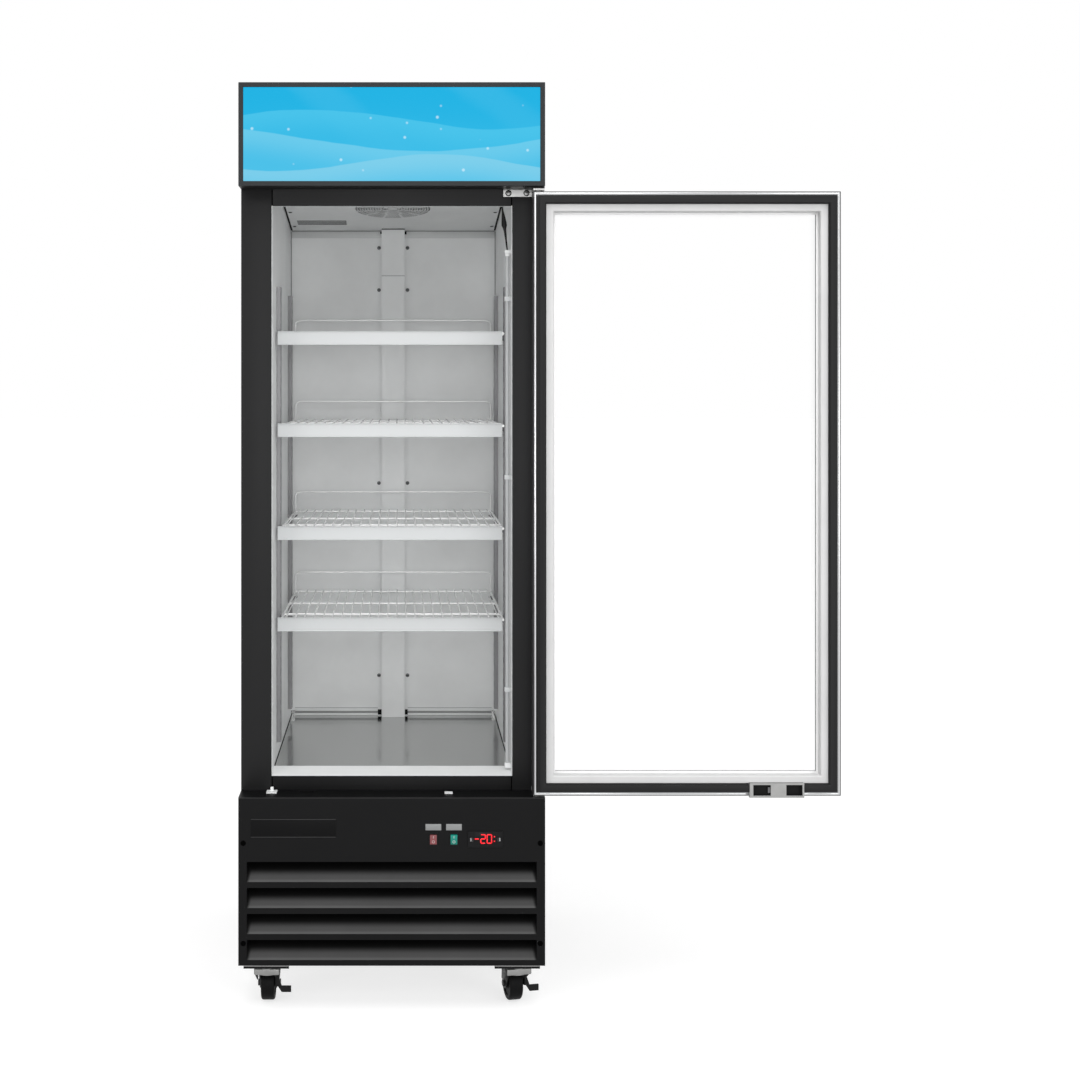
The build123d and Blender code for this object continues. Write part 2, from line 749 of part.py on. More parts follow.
def lamp_lead():
    """The lead that leans from the ceiling pan to the tube's head, with its tapered in-line plug."""
    low = lamp_levels()[1] + HEAD_TALL
    plug = CEILING_Z - PLUG_DROP
    top = cover_level(LAMP_Y + LEAD_RADIUS)
    lead = lead_length(low, LEAD_RADIUS, top, LEAD_RADIUS)
    lead += lead_length(plug, PLUG_RADIUS, plug + PLUG_TAPER, LEAD_RADIUS)
    return lead + lead_length(plug - PLUG_NECK, LEAD_RADIUS, plug, PLUG_RADIUS)


# Light box


def lightbox_housing():
    rim_y = FRONT_Y + BEZEL_LIP + SIGN_SHEET
    box = block((-HALF, HALF), (rim_y, 0), (SIGN_Z, TOP_Z))
    hollow_z = (SIGN_Z + SHEET, TOP_Z - SHEET)
    return box - block((SHEET - HALF, HALF - SHEET), (rim_y, -SHEET), hollow_z)


def inset(spans, amount):
    """An (x, z) outline drawn in by the same amount all round."""
    return [(low + amount, high - amount) for low, high in spans]


def ring_y(outline, outer, inner, y):
    """A flat ring in the XZ plane, between two insets of an outline."""
    (outer_x, outer_z), (inner_x, inner_z) = inset(outline, outer), inset(outline, inner)
    return block(outer_x, y, outer_z) - block(inner_x, y, inner_z)


def sign_outline():
    return ((-HALF, HALF), (SIGN_Z, TOP_Z))


def lightbox_bezel():
    lip_y = FRONT_Y + BEZEL_LIP
    lip = ring_y(sign_outline(), 0, BEZEL_WIDTH, (FRONT_Y, lip_y))
    return lip + ring_y(sign_outline(), 0, BEZEL_RIM, (lip_y, lip_y + SIGN_SHEET))


def sign_panel():
    face = FRONT_Y + BEZEL_LIP
    sign_x, sign_z = inset(sign_outline(), BEZEL_RIM + SIGN_GAP)
    return block(sign_x, (face, face + SIGN_SHEET), sign_z)


def lightbox_lamp():
    middle = (SIGN_Z + TOP_Z) / 2
    tube_y = -SIGN_LAMP_BACK
    half = HALF - SIGN_LAMP_SIDE
    tube = round_x(SIGN_LAMP_RADIUS, (-half, half), tube_y, middle)
    holder_z = (middle - SIGN_HOLDER / 2, middle + SIGN_HOLDER / 2)
    holder_y = (tube_y - SIGN_HOLDER / 2, -SHEET)
    spans = both(half, half + FOOT_TALL)
    return [tube] + [block(x, holder_y, holder_z) for x in spans]


# Louvred lower panel and its controls


def louvre(low):
    """One pressed hood: a slat leaning inwards from the opening's lower edge, closed at both ends."""
    inner = FRONT_Y + LOUVRE_DEPTH
    slat_section = [
        (FRONT_Y, low - FACE_SHEET),
        (FRONT_Y + FACE_SHEET, low - FACE_SHEET),
        (inner + FACE_SHEET, low + LOUVRE_RISE),
        (inner, low + LOUVRE_RISE),
        (FRONT_Y, low),
    ]
    hood = bar_x(slat_section, (-LOUVRE_HALF, LOUVRE_HALF))
    end_section = [
        (FRONT_Y, low - FACE_SHEET),
        (inner, low + LOUVRE_RISE),
        (FRONT_Y, low + LOUVRE_OPENING + FACE_SHEET),
    ]
    for x in both(LOUVRE_HALF, LOUVRE_HALF + FACE_SHEET):
        hood += bar_x(end_section, x)
    return hood


def louvre_lows():
    return [CASTER_HEIGHT + LOUVRE_FOOT + i * LOUVRE_PITCH for i in range(LOUVRE_COUNT)]


def cam_slot_x():
    width, length, _ = CAM
    return (LOCK_X - width / 2 - CAM_SLOT_GAP, LOCK_X + length)


def cam_y():
    """The lock cam's plane with the door shut."""
    return (DOOR_BACK + CAM_BACK, DOOR_BACK + CAM_BACK + CAM[2])


def control_panel():
    """The pressed lower front: a deep tray with louvres, control cut-outs and a lock slot."""
    panel = block((-HALF, HALF), (FRONT_Y, 0), (CASTER_HEIGHT, LEDGE_Z))
    hollow_z = (CASTER_HEIGHT + FACE_SHEET, LEDGE_Z - FACE_SHEET)
    panel -= block((FACE_SHEET - HALF, HALF - FACE_SHEET), (FRONT_Y + FACE_SHEET, 0), hollow_z)
    face = (FRONT_Y, FRONT_Y + FACE_SHEET)
    for low in louvre_lows():
        panel -= block((-LOUVRE_HALF, LOUVRE_HALF), face, (low, low + LOUVRE_OPENING))
        panel += louvre(low)
    for x in SWITCH_X:
        panel -= control_block(x, SWITCH_BODY, face)
    panel -= control_block(CONTROLLER_X, CONTROLLER_BODY, face)
    slot_y = (cam_y()[0] - CAM_SLOT_GAP, cam_y()[1] + CAM_SLOT_GAP)
    return panel - block(cam_slot_x(), slot_y, (LEDGE_Z - FACE_SHEET, LEDGE_Z))


def control_block(x, size, y):
    """A block of the given face size, centred on the controls' line."""
    wide, tall = size
    return block((x - wide / 2, x + wide / 2), y, (CONTROLS_Z - tall / 2, CONTROLS_Z + tall / 2))


def rocker_axis_y():
    return FRONT_Y + ROCKER_PIN_BACK


def switch_bodies():
    bodies = []
    for x in SWITCH_X:
        body = control_block(x, SWITCH_FLANGE, (FRONT_Y - SWITCH_PROUD, FRONT_Y))
        body += control_block(x, SWITCH_BODY, (FRONT_Y, FRONT_Y + SWITCH_DEEP))
        body -= control_block(x, SWITCH_POCKET, (FRONT_Y - SWITCH_PROUD, FRONT_Y + POCKET_DEEP))
        bore_x = (x - SWITCH_BODY[0] / 2, x + SWITCH_BODY[0] / 2)
        body -= wire_x(ROCKER_PIN + RUNNING_FIT, bore_x, rocker_axis_y(), CONTROLS_Z)
        bodies.append(body)
    return bodies


def rocker(x):
    """A rocker with a V face, tilted to its switched-on side, on pins in the switch body's walls."""
    half_wide = SWITCH_POCKET[0] / 2 - ROCKER_SIDE
    section = [
        (-ROCKER_NOSE, -ROCKER_HALF),
        (-ROCKER_CROWN, 0),
        (-ROCKER_NOSE, ROCKER_HALF),
        (0, ROCKER_HALF),
        (ROCKER_BACK, 0),
        (0, -ROCKER_HALF),
    ]
    pin_half = (SWITCH_BODY[0] + SWITCH_POCKET[0]) / 4
    key = bar_x(section, (-half_wide, half_wide))
    key += round_x(ROCKER_PIN, (-pin_half, pin_half), 0, 0)
    return Pos(x, rocker_axis_y(), CONTROLS_Z) * Rot(ROCKER_TILT, 0, 0) * key


def key_block(side, grow, y):
    x = CONTROLLER_X + side * KEY_OFFSET
    size = KEY_SIZE + 2 * grow
    return control_block(x, (size, size), y)


def controller_body():
    face_y = FRONT_Y - CONTROLLER_PROUD
    body = control_block(CONTROLLER_X, CONTROLLER_FACE, (face_y, FRONT_Y))
    body += control_block(CONTROLLER_X, CONTROLLER_BODY, (FRONT_Y, FRONT_Y + CONTROLLER_DEEP))
    for side in (-1, 1):
        body -= key_block(side, KEY_GAP, (face_y, face_y + KEY_POCKET))
    return body


def controller_button(side):
    front = FRONT_Y - CONTROLLER_PROUD - KEY_PROUD
    return key_block(side, 0, (front, front + KEY_TALL))


def ledge_fittings():
    """The nylon door catch and the flat door sensor, both on the panel's ledge."""
    wide, deep, tall = CATCH_BASE
    base_y = (-CATCH_BACK - deep, -CATCH_BACK)
    catch = block((CATCH_X - wide / 2, CATCH_X + wide / 2), base_y, (LEDGE_Z, LEDGE_Z + tall))
    post_wide, post_deep, post_tall = CATCH_POST
    post_x = (CATCH_X - post_wide / 2, CATCH_X + post_wide / 2)
    catch += block(post_x, (-CATCH_BACK - post_deep, -CATCH_BACK), (LEDGE_Z, LEDGE_Z + post_tall))
    wide, deep, tall = SENSOR_SIZE
    sensor_y = (-SENSOR_BACK - deep, -SENSOR_BACK)
    sensor_x = (SENSOR_X - wide / 2, SENSOR_X + wide / 2)
    return [catch, block(sensor_x, sensor_y, (LEDGE_Z, LEDGE_Z + tall))]


# Door, drawn shut and then swung open about its pins


def door_outline():
    return ((-HALF, HALF), (DOOR_BOTTOM, DOOR_TOP))


def swung(shape):
    """A door piece carried from shut to its resting place, open flat beside the cabinet."""
    return Pos(PIVOT_X, PIVOT_Y) * Rot(0, 0, DOOR_REST_ANGLE) * Pos(-PIVOT_X, -PIVOT_Y) * shape


def pin_bores():
    depth = PIN_LENGTH + PIN_END_GAP
    radius = PIN_RADIUS + RUNNING_FIT
    low = round_z(radius, PIVOT_X, PIVOT_Y, (DOOR_BOTTOM, DOOR_BOTTOM + depth))
    return low + round_z(radius, PIVOT_X, PIVOT_Y, (DOOR_TOP - depth, DOOR_TOP))


def door_frame():
    """The aluminium frame with its outer glass lip, finger pull, hinge bores and lock bore."""
    frame = ring_y(door_outline(), 0, STILE, (FRONT_Y, DOOR_BACK))
    frame += ring_y(door_outline(), STILE, GLASS_LAP, (FRONT_Y, GLASS_FRONT))
    pull_x = (PULL_INSET[0] - HALF, PULL_INSET[1] - HALF)
    pull_z = (DOOR_BOTTOM + PULL_END, DOOR_TOP - PULL_END)
    frame -= block(pull_x, (FRONT_Y, FRONT_Y + PULL_DEEP), pull_z)
    frame -= pin_bores()
    frame -= round_y(BARREL_RADIUS + RUNNING_FIT, LOCK_X, (FRONT_Y, DOOR_BACK), LOCK_Z)
    return swung(frame)


def glass_panes():
    pane_x, pane_z = inset(door_outline(), PANE_INSET)
    fronts = (GLASS_FRONT, GLASS_FRONT + PANE + PANE_SPACE)
    return [swung(block(pane_x, (y, y + PANE), pane_z)) for y in fronts]


def glass_spacer():
    gap_y = (GLASS_FRONT + PANE, GLASS_FRONT + PANE + PANE_SPACE)
    return swung(ring_y(door_outline(), SPACER_INSET, SPACER_INSET + SPACER_WIDTH, gap_y))


def glazing_frame():
    """The plastic frame that holds the glass from inside, with a bevelled inner edge."""
    frame = ring_y(door_outline(), STILE, GLASS_LAP, (GLASS_BACK, DOOR_BACK))
    inner_face = frame.faces().filter_by(Plane.XZ).sort_by(Axis.Y)[-1]
    return swung(chamfer(inner_face.inner_wires()[0].edges(), GLAZING_BEVEL))


def lock_spans():
    """The lock housing's X and Z spans with the door shut."""
    low_x = LOCK_FROM_LATCH - HALF
    low_z = DOOR_BOTTOM - LOCK_DROP
    return (low_x, low_x + LOCK_LENGTH), (low_z, low_z + LOCK_TALL)


def door_gasket():
    """The magnetic seal on the door's inner face, broken where the lock housing crosses it."""
    tip_y = -GASKET_GAP
    base = ring_y(door_outline(), GASKET_INSET, STILE, (DOOR_BACK, DOOR_BACK + GASKET_BASE))
    tip_low, tip_high = GASKET_TIP_INSET
    seal = base + ring_y(door_outline(), tip_low, tip_high, (DOOR_BACK + GASKET_BASE, tip_y))
    lock_x, lock_z = lock_spans()
    cut_x = (lock_x[0] - LOCK_SIDE_GAP, lock_x[1] + LOCK_SIDE_GAP)
    return swung(seal - block(cut_x, (DOOR_BACK, tip_y), lock_z))


def lock_housing():
    """A pressed cover over the lock cam: two windows either side of a web, and a slot below."""
    lock_x, lock_z = lock_spans()
    face = DOOR_BACK + LOCK_PROUD
    cover = block(lock_x, (DOOR_BACK, face), lock_z)
    hollow_x = (lock_x[0] + LOCK_WALL, lock_x[1] - LOCK_WALL)
    hollow_z = (lock_z[0] + LOCK_WALL, lock_z[1] - LOCK_WALL)
    cover -= block(hollow_x, (DOOR_BACK, face - LOCK_WALL), hollow_z)
    window_z = (lock_z[0] + 2 * LOCK_WALL, lock_z[1] - 2 * LOCK_WALL)
    web = (LOCK_X - LOCK_WEB / 2, LOCK_X + LOCK_WEB / 2)
    for x in ((lock_x[0] + LOCK_END / 2, web[0]), (web[1], lock_x[1] - LOCK_END)):
        cover -= block(x, (face - LOCK_WALL, face), window_z)
    slot_y = (cam_y()[0] - CAM_SLOT_GAP, cam_y()[1] + CAM_SLOT_GAP)
    cover -= block(cam_slot_x(), slot_y, (lock_z[0], lock_z[0] + LOCK_WALL))
    return swung(cover)


def lock_barrel():
    """The key barrel through the door's lower rail, with its keyway outside and its cam inside."""
    keyway_wide, keyway_tall, keyway_deep = KEYWAY
    front = FRONT_Y - BARREL_PROUD
    barrel = round_y(BARREL_RADIUS, LOCK_X, (front, cam_y()[1]), LOCK_Z)
    keyway_x = (LOCK_X - keyway_wide / 2, LOCK_X + keyway_wide / 2)
    keyway_z = (LOCK_Z - keyway_tall / 2, LOCK_Z + keyway_tall / 2)
    barrel -= block(keyway_x, (front, front + keyway_deep), keyway_z)
    cam_wide, cam_length, _ = CAM
    cam_z = (LOCK_Z - cam_wide / 2, LOCK_Z + cam_wide / 2)
    barrel += block((LOCK_X, LOCK_X + cam_length - CAM_SLOT_GAP), cam_y(), cam_z)
    return swung(barrel)


def door_hinges():
    """The upper and lower brackets, each with the pin that the door turns on."""
    arm_x = (PIVOT_X - ARM_WIDTH / 2, PIVOT_X + ARM_WIDTH / 2)
    arm_y = (PIVOT_Y - ARM_WIDTH / 2, 0)
    plate_y = (-HINGE_PLATE, 0)
    arm_low = DOOR_TOP + TOP_ARM_GAP
    upper = block(arm_x, arm_y, (arm_low, arm_low + TOP_ARM))
    plate_top = SIGN_Z - SWIVEL_GAP
    plate_x = (HALF - TOP_PLATE_WIDE, HALF)
    upper += block(plate_x, plate_y, (plate_top - TOP_PLATE_TALL, plate_top))
    upper += round_z(PIN_RADIUS, PIVOT_X, PIVOT_Y, (DOOR_TOP - PIN_LENGTH, arm_low))
    arm_top = LEDGE_Z + LOW_ARM
    lower = block(arm_x, arm_y, (LEDGE_Z, arm_top))
    lower += block(arm_x, plate_y, (LEDGE_Z, LEDGE_Z + LOW_PLATE_TALL))
    lower += round_z(PIN_RADIUS, PIVOT_X, PIVOT_Y, (arm_top, DOOR_BOTTOM + PIN_LENGTH))
    return [upper, lower]


# Casters, each drawn about its own swivel axis


CASTERS = {
    "front_left": (-CASTER_X, FRONT_CASTER_Y, 0.0),
    "front_right": (CASTER_X, FRONT_CASTER_Y, FRONT_RIGHT_TURN),
    "rear_left": (-CASTER_X, REAR_CASTER_Y, 0.0),
    "rear_right": (CASTER_X, REAR_CASTER_Y, 0.0),
}
BRAKED = ("front_left", "front_right")


def turned(corner, shape):
    x, y, turn = CASTERS[corner]
    return Pos(x, y) * Rot(0, 0, turn) * shape


def caster_plates():
    """The four top plates, each with the kingpin that its fork swivels on."""
    wide, deep, tall = CASTER_PLATE
    low = CASTER_HEIGHT - tall
    plates = []
    for x, y, _ in CASTERS.values():
        plate = Pos(x, y, low + tall / 2) * Box(wide, deep, tall)
        plate += round_z(KINGPIN_RADIUS, x, y, (CROWN_BOTTOM, low))
        plates.append(plate)
    return plates


def caster_bolts():
    """Hexagon bolt heads under the corners of each plate."""
    top = CASTER_HEIGHT - CASTER_PLATE[2]
    across, along = CASTER_BOLT_PLACE
    head = extrude(RegularPolygon(BOLT_ACROSS / 2, 6, major_radius=False), amount=-BOLT_TALL)
    heads = []
    for x, y, _ in CASTERS.values():
        for dx in (-across, across):
            heads += [Pos(x + dx, y + dy, top) * head for dy in (-along, along)]
    return heads


def caster_fork(corner):
    """A pressed fork: a crown with a front skirt, two legs and the axle bolt that spans them."""
    skirt_low = CROWN_BOTTOM - SKIRT_TALL
    crown = Plane.XY.offset(skirt_low) * RegularPolygon(CROWN_RADIUS, CROWN_SIDES)
    fork = extrude(crown, amount=CROWN_TOP - skirt_low)
    wheel_space_z = (skirt_low, CROWN_BOTTOM)
    fork -= block((-CROWN_RADIUS, CROWN_RADIUS), (SKIRT_BACK, CROWN_RADIUS), wheel_space_z)
    leg_section = [
        (-CROWN_RADIUS / 2, CROWN_BOTTOM + FORK_SHEET),
        (TRAIL - FORK_EYE, WHEEL_RADIUS - FORK_EYE / 2),
        (TRAIL - FORK_EYE / 2, WHEEL_RADIUS - FORK_EYE),
        (TRAIL + FORK_EYE / 2, WHEEL_RADIUS - FORK_EYE),
        (TRAIL + FORK_EYE, WHEEL_RADIUS),
        (CROWN_RADIUS - FORK_SHEET, CROWN_BOTTOM + FORK_SHEET),
    ]
    for x in both(LEG_INNER, LEG_OUTER):
        fork += bar_x(leg_section, x)
    far = LEVER_OUTER + SWIVEL_GAP if corner in BRAKED else LEG_OUTER
    fork += round_x(AXLE_RADIUS, (-LEG_OUTER, far), TRAIL, WHEEL_RADIUS)
    fork += hexagon_x(NUT_ACROSS, (-LEG_OUTER - NUT_TALL, -LEG_OUTER), TRAIL, WHEEL_RADIUS)
    fork += hexagon_x(NUT_ACROSS, (far, far + NUT_TALL), TRAIL, WHEEL_RADIUS)
    fork -= round_z(KINGPIN_RADIUS + RUNNING_FIT, 0, 0, (skirt_low, CROWN_TOP))
    return turned(corner, fork)


def caster_wheel(corner):
    """A moulded wheel with a bevelled tread, bored for the axle."""
    wheel = extrude(RegularPolygon(WHEEL_RADIUS, WHEEL_SIDES), WHEEL_HALF, both=True)
    rims = wheel.faces().filter_by(Plane.XY).edges()
    wheel = chamfer(rims, WHEEL_ROUND) - Cylinder(AXLE_RADIUS + RUNNING_FIT, WHEEL_WIDTH)
    return turned(corner, Pos(0, TRAIL, WHEEL_RADIUS) * Rot(0, 90, 0) * wheel)


def brake_lever(corner):
    """A pressed side lever on the axle bolt, with its pedal turned outwards at the front."""
    front = -PEDAL_SHEET / 2
    knee = PEDAL_LOW + PEDAL_TALL
    side_section = [
        (front, LEVER_TOP),
        (front, knee),
        (TRAIL - LEVER_EYE / 2, WHEEL_RADIUS - LEVER_EYE / 2),
        (TRAIL + LEVER_EYE / 2, WHEEL_RADIUS + LEVER_EYE / 2),
        (front + 3 * PEDAL_SHEET, LEVER_TOP),
    ]
    lever = bar_x(side_section, (LEVER_INNER, LEVER_OUTER))
    lever += wire_x(LEVER_EYE, (LEVER_INNER, LEVER_OUTER), TRAIL, WHEEL_RADIUS)
    bend = LEVER_OUTER + LEVER_EYE
    pedal_section = [
        (LEVER_INNER, LEVER_TOP),
        (LEVER_OUTER, LEVER_TOP),
        (bend, knee),
        (PEDAL_REACH, knee),
        (PEDAL_REACH, PEDAL_LOW),
        (bend, PEDAL_LOW),
        (LEVER_INNER, knee + PEDAL_SHEET),
    ]
    lever += bar_y(pedal_section, (front, front + PEDAL_SHEET))
    bore_x = (LEVER_INNER, LEVER_OUTER)
    lever -= round_x(AXLE_RADIUS + RUNNING_FIT, bore_x, TRAIL, WHEEL_RADIUS)
    return turned(corner, lever)


# Machinery compartment


def base_pan():
    pan = block((-INSIDE, INSIDE), (0, BACK_Y - SHEET), (CASTER_HEIGHT, PAN_TOP))
    return pan + block((-INSIDE, INSIDE), (0, PAN_SHEET), (PAN_TOP, PAN_TOP + PAN_LIP))


def compressor():
    """A hermetic compressor: a can with a bevelled top on a plate with four rubber feet."""
    x = INSIDE - COMPRESSOR_INSET[0]
    y = BACK_Y - COMPRESSOR_INSET[1]
    foot_wide, foot_tall = COMPRESSOR_FOOT
    wide, deep, tall = COMPRESSOR_PLATE
    plate_low = PAN_TOP + foot_tall
    can_low = plate_low + tall
    can = extrude(RegularPolygon(COMPRESSOR_RADIUS, COMPRESSOR_SIDES), amount=COMPRESSOR_TALL)
    can = chamfer(can.faces().sort_by(Axis.Z)[-1].edges(), COMPRESSOR_ROUND)
    body = Pos(x, y, can_low) * can
    body += Pos(x, y, plate_low + tall / 2) * Box(wide, deep, tall)
    for dx in (-1, 1):
        for dy in (-1, 1):
            foot = post(foot_wide, (PAN_TOP, plate_low))
            body += Pos(x + dx * (wide - foot_wide) / 2, y + dy * (deep - foot_wide) / 2) * foot
    return body


def condenser_coil():
    coil = block(CONDENSER_X, CONDENSER_Y, (PAN_TOP + COIL_FOOT, PAN_TOP + CONDENSER_TALL))
    low_x, high_x = CONDENSER_X
    plate_z = (PAN_TOP, PAN_TOP + CONDENSER_TALL + COIL_FOOT)
    for x in ((low_x - CONDENSER_PLATE, low_x), (high_x, high_x + CONDENSER_PLATE)):
        coil += block(x, CONDENSER_Y, plate_z)
    return coil


def condenser_fan_frame():
    return Pos(CONDENSER_FAN_X, CONDENSER_FAN_Y, PAN_TOP + CONDENSER_FAN_RISE) * Rot(-90, 0, 0)


def condenser_fan():
    return condenser_fan_frame() * fan(CONDENSER_HUB, CONDENSER_FAN_RADIUS)


def condenser_fan_motor():
    """The condenser fan's motor on its stand from the base pan."""
    wide, tall = CONDENSER_MOTOR
    low = CONDENSER_HUB[1] / 2 + MOTOR_GAP
    can = post(wide, (low, low + tall)) - motor_bore(CONDENSER_HUB[1])
    rear = CONDENSER_FAN_Y + low + tall
    stand_y = (rear - tall + SHAFT_SEAT + 2 * PIN_END_GAP, rear)
    stand_z = (PAN_TOP, PAN_TOP + CONDENSER_FAN_RISE)
    stand_x = (CONDENSER_FAN_X - MOTOR_STAND / 2, CONDENSER_FAN_X + MOTOR_STAND / 2)
    stand = block(stand_x, stand_y, stand_z)
    return condenser_fan_frame() * can + stand


def drip_tray():
    low_x, high_y = TRAY_SIDE - INSIDE, BACK_Y - TRAY_REAR
    high_x, low_y = low_x + TRAY_WIDE, high_y - TRAY_DEEP
    tray = block((low_x, high_x), (low_y, high_y), (PAN_TOP, PAN_TOP + TRAY_TALL))
    hollow_x = (low_x + TRAY_WALL, high_x - TRAY_WALL)
    hollow_y = (low_y + TRAY_WALL, high_y - TRAY_WALL)
    return tray - block(hollow_x, hollow_y, (PAN_TOP + TRAY_WALL, PAN_TOP + TRAY_TALL))


# Every named piece, written to its own file


def all_parts():
    parts = {
        "cabinet_shell": cabinet_shell(),
        "rear_panel": rear_panel(),
        "rear_grille": rear_grille(),
        "foam_insulation": foam_insulation(),
        "front_frame": front_frame(),
        "breaker_strips": breaker_strips(),
        "inner_liner": inner_liner(),
        "liner_floor": liner_floor(),
        "rear_duct_cover": rear_duct_cover(),
        "shelf_standards": shelf_standards(),
        "shelf_clips": shelf_clips(),
        "price_strips": price_strips(),
        "evaporator_cover": evaporator_cover(),
        "evaporator_coil": evaporator_coil(),
        "evaporator_fan": evaporator_fan(),
        "evaporator_fan_motor": evaporator_fan_motor(),
        "cabin_lamp": cabin_lamp(),
        "lamp_lead": lamp_lead(),
        "lightbox_housing": lightbox_housing(),
        "lightbox_bezel": lightbox_bezel(),
        "sign_panel": sign_panel(),
        "lightbox_lamp": lightbox_lamp(),
        "control_panel": control_panel(),
        "switch_bodies": switch_bodies(),
        "rocker_power": rocker(SWITCH_X[0]),
        "rocker_light": rocker(SWITCH_X[1]),
        "controller_body": controller_body(),
        "controller_button_left": controller_button(-1),
        "controller_button_right": controller_button(1),
        "ledge_fittings": ledge_fittings(),
        "door_frame": door_frame(),
        "glass_panes": glass_panes(),
        "glass_spacer": glass_spacer(),
        "glazing_frame": glazing_frame(),
        "door_gasket": door_gasket(),
        "lock_housing": lock_housing(),
        "lock_barrel": lock_barrel(),
        "door_hinges": door_hinges(),
        "caster_plates": caster_plates(),
        "caster_bolts": caster_bolts(),
        "base_pan": base_pan(),
        "compressor": compressor(),
        "condenser_coil": condenser_coil(),
        "condenser_fan": condenser_fan(),
        "condenser_fan_motor": condenser_fan_motor(),
        "drip_tray": drip_tray(),
    }
    for number, top in enumerate(SHELF_TOPS, start=1):
        parts[f"wire_shelf_{number}"] = wire_shelf(top)
    for corner in CASTERS:
        parts[f"caster_fork_{corner}"] = caster_fork(corner)
        parts[f"caster_wheel_{corner}"] = caster_wheel(corner)
    for corner in BRAKED:
        parts[f"brake_lever_{corner}"] = brake_lever(corner)
    return parts


def write_parts():
    os.makedirs("parts", exist_ok=True)
    for name, made in all_parts().items():
        pieces = made if isinstance(made, list) else [made]
        solids = [solid for piece in pieces for solid in piece.solids()]
        export_step(Compound(solids), f"parts/{name}.step")


write_parts()
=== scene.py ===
# %% [markdown]
# # A glass door freezer, dressed over its solid model
# The solid model gives every piece its place and size, in metres, with the floor at z = 0 and the
# cabinet's face at y = 0. This lesson gives those pieces their finishes, softens their edges, and adds
# the small things that a maker presses, punches or screws on: wires, screws, slots, rings.
# Everything is worked out from numbers, so the script gives the same scene on every run. Sizes are
# written in millimetres, as on a workshop drawing, and divided by MM where Blender wants metres.

# %% Load the frame
import json
import math

import bmesh
import bpy
from mathutils import Matrix, Vector


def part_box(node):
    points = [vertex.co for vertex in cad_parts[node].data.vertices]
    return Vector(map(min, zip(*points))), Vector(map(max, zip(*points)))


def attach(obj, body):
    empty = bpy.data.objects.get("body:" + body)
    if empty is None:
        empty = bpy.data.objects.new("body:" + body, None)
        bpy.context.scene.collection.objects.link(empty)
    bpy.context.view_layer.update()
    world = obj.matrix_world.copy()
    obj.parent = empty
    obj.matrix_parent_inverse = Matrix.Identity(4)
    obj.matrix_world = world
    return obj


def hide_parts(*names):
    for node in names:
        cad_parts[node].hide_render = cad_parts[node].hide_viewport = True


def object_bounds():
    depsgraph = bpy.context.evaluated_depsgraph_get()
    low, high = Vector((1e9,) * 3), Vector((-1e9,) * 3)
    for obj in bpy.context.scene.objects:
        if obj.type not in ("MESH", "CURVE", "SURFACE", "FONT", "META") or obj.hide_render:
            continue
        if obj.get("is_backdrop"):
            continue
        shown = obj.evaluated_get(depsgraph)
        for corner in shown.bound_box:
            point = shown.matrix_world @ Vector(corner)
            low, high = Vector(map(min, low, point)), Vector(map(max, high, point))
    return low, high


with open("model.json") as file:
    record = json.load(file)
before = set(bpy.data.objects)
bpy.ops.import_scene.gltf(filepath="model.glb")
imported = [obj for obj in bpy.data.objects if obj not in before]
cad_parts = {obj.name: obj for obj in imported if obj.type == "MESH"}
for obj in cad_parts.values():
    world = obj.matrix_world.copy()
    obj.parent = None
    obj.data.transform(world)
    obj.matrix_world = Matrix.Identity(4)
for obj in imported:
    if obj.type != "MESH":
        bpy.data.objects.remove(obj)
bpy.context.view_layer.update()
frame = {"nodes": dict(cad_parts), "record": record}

MM = 1000  # millimetres in a metre
nodes = frame["nodes"]
scene = bpy.context.scene
scene.view_settings.view_transform = "Standard"

# %% [markdown]
# ## The camera
# The photograph was taken from straight in front, 3.51 m from the cabinet's face and 1.40 m up,
# with the lens axis level. A level axis keeps upright edges upright; the framing is then done
# with the lens shift, as an architect's camera does, and not by tilting the camera.

# %% Camera
PHOTO = 1080  # side of the photograph in pixels
FOCAL_PIXELS = 1543  # focal length in those pixels
AXIS_PIXEL = (401, 385)  # where the lens axis meets the photograph
CAMERA_PLACE = (0.0207, -3.510, 1.400)
SENSOR = 36

camera = bpy.data.objects.new("photo_camera", bpy.data.cameras.new("photo_camera"))
scene.collection.objects.link(camera)
camera.location = CAMERA_PLACE
camera.rotation_euler = (math.radians(90), 0, 0)
camera.data.sensor_width = SENSOR
camera.data.lens = SENSOR * FOCAL_PIXELS / PHOTO
camera.data.shift_x = (PHOTO / 2 - AXIS_PIXEL[0]) / PHOTO
camera.data.shift_y = (AXIS_PIXEL[1] - PHOTO / 2) / PHOTO
camera.data.dof.use_dof = False
scene.camera = camera
print("camera lens", round(camera.data.lens, 2), "mm")

# %% [markdown]
# ## Writing node trees as sums
# A finish is a shader tree. Its nodes could be added and wired one by one, but that hides the idea
# behind the wiring. So a small class wraps a socket: `a * b` adds a Math node and hands back its
# output. Every other node comes from one method, `node`, which sets a node's options first and then
# its sockets. The Geometry Nodes trees, the floor and the world use the same method.

# %% A socket that does sums
def operator_pair(operation):
    """The plain and the reflected method of an operator, so that 1 - mask works as mask - 1 does."""

    def plain(self, other):
        return self.wiring.math(operation, self, other)

    def reflected(self, other):
        return self.wiring.math(operation, other, self)

    return plain, reflected


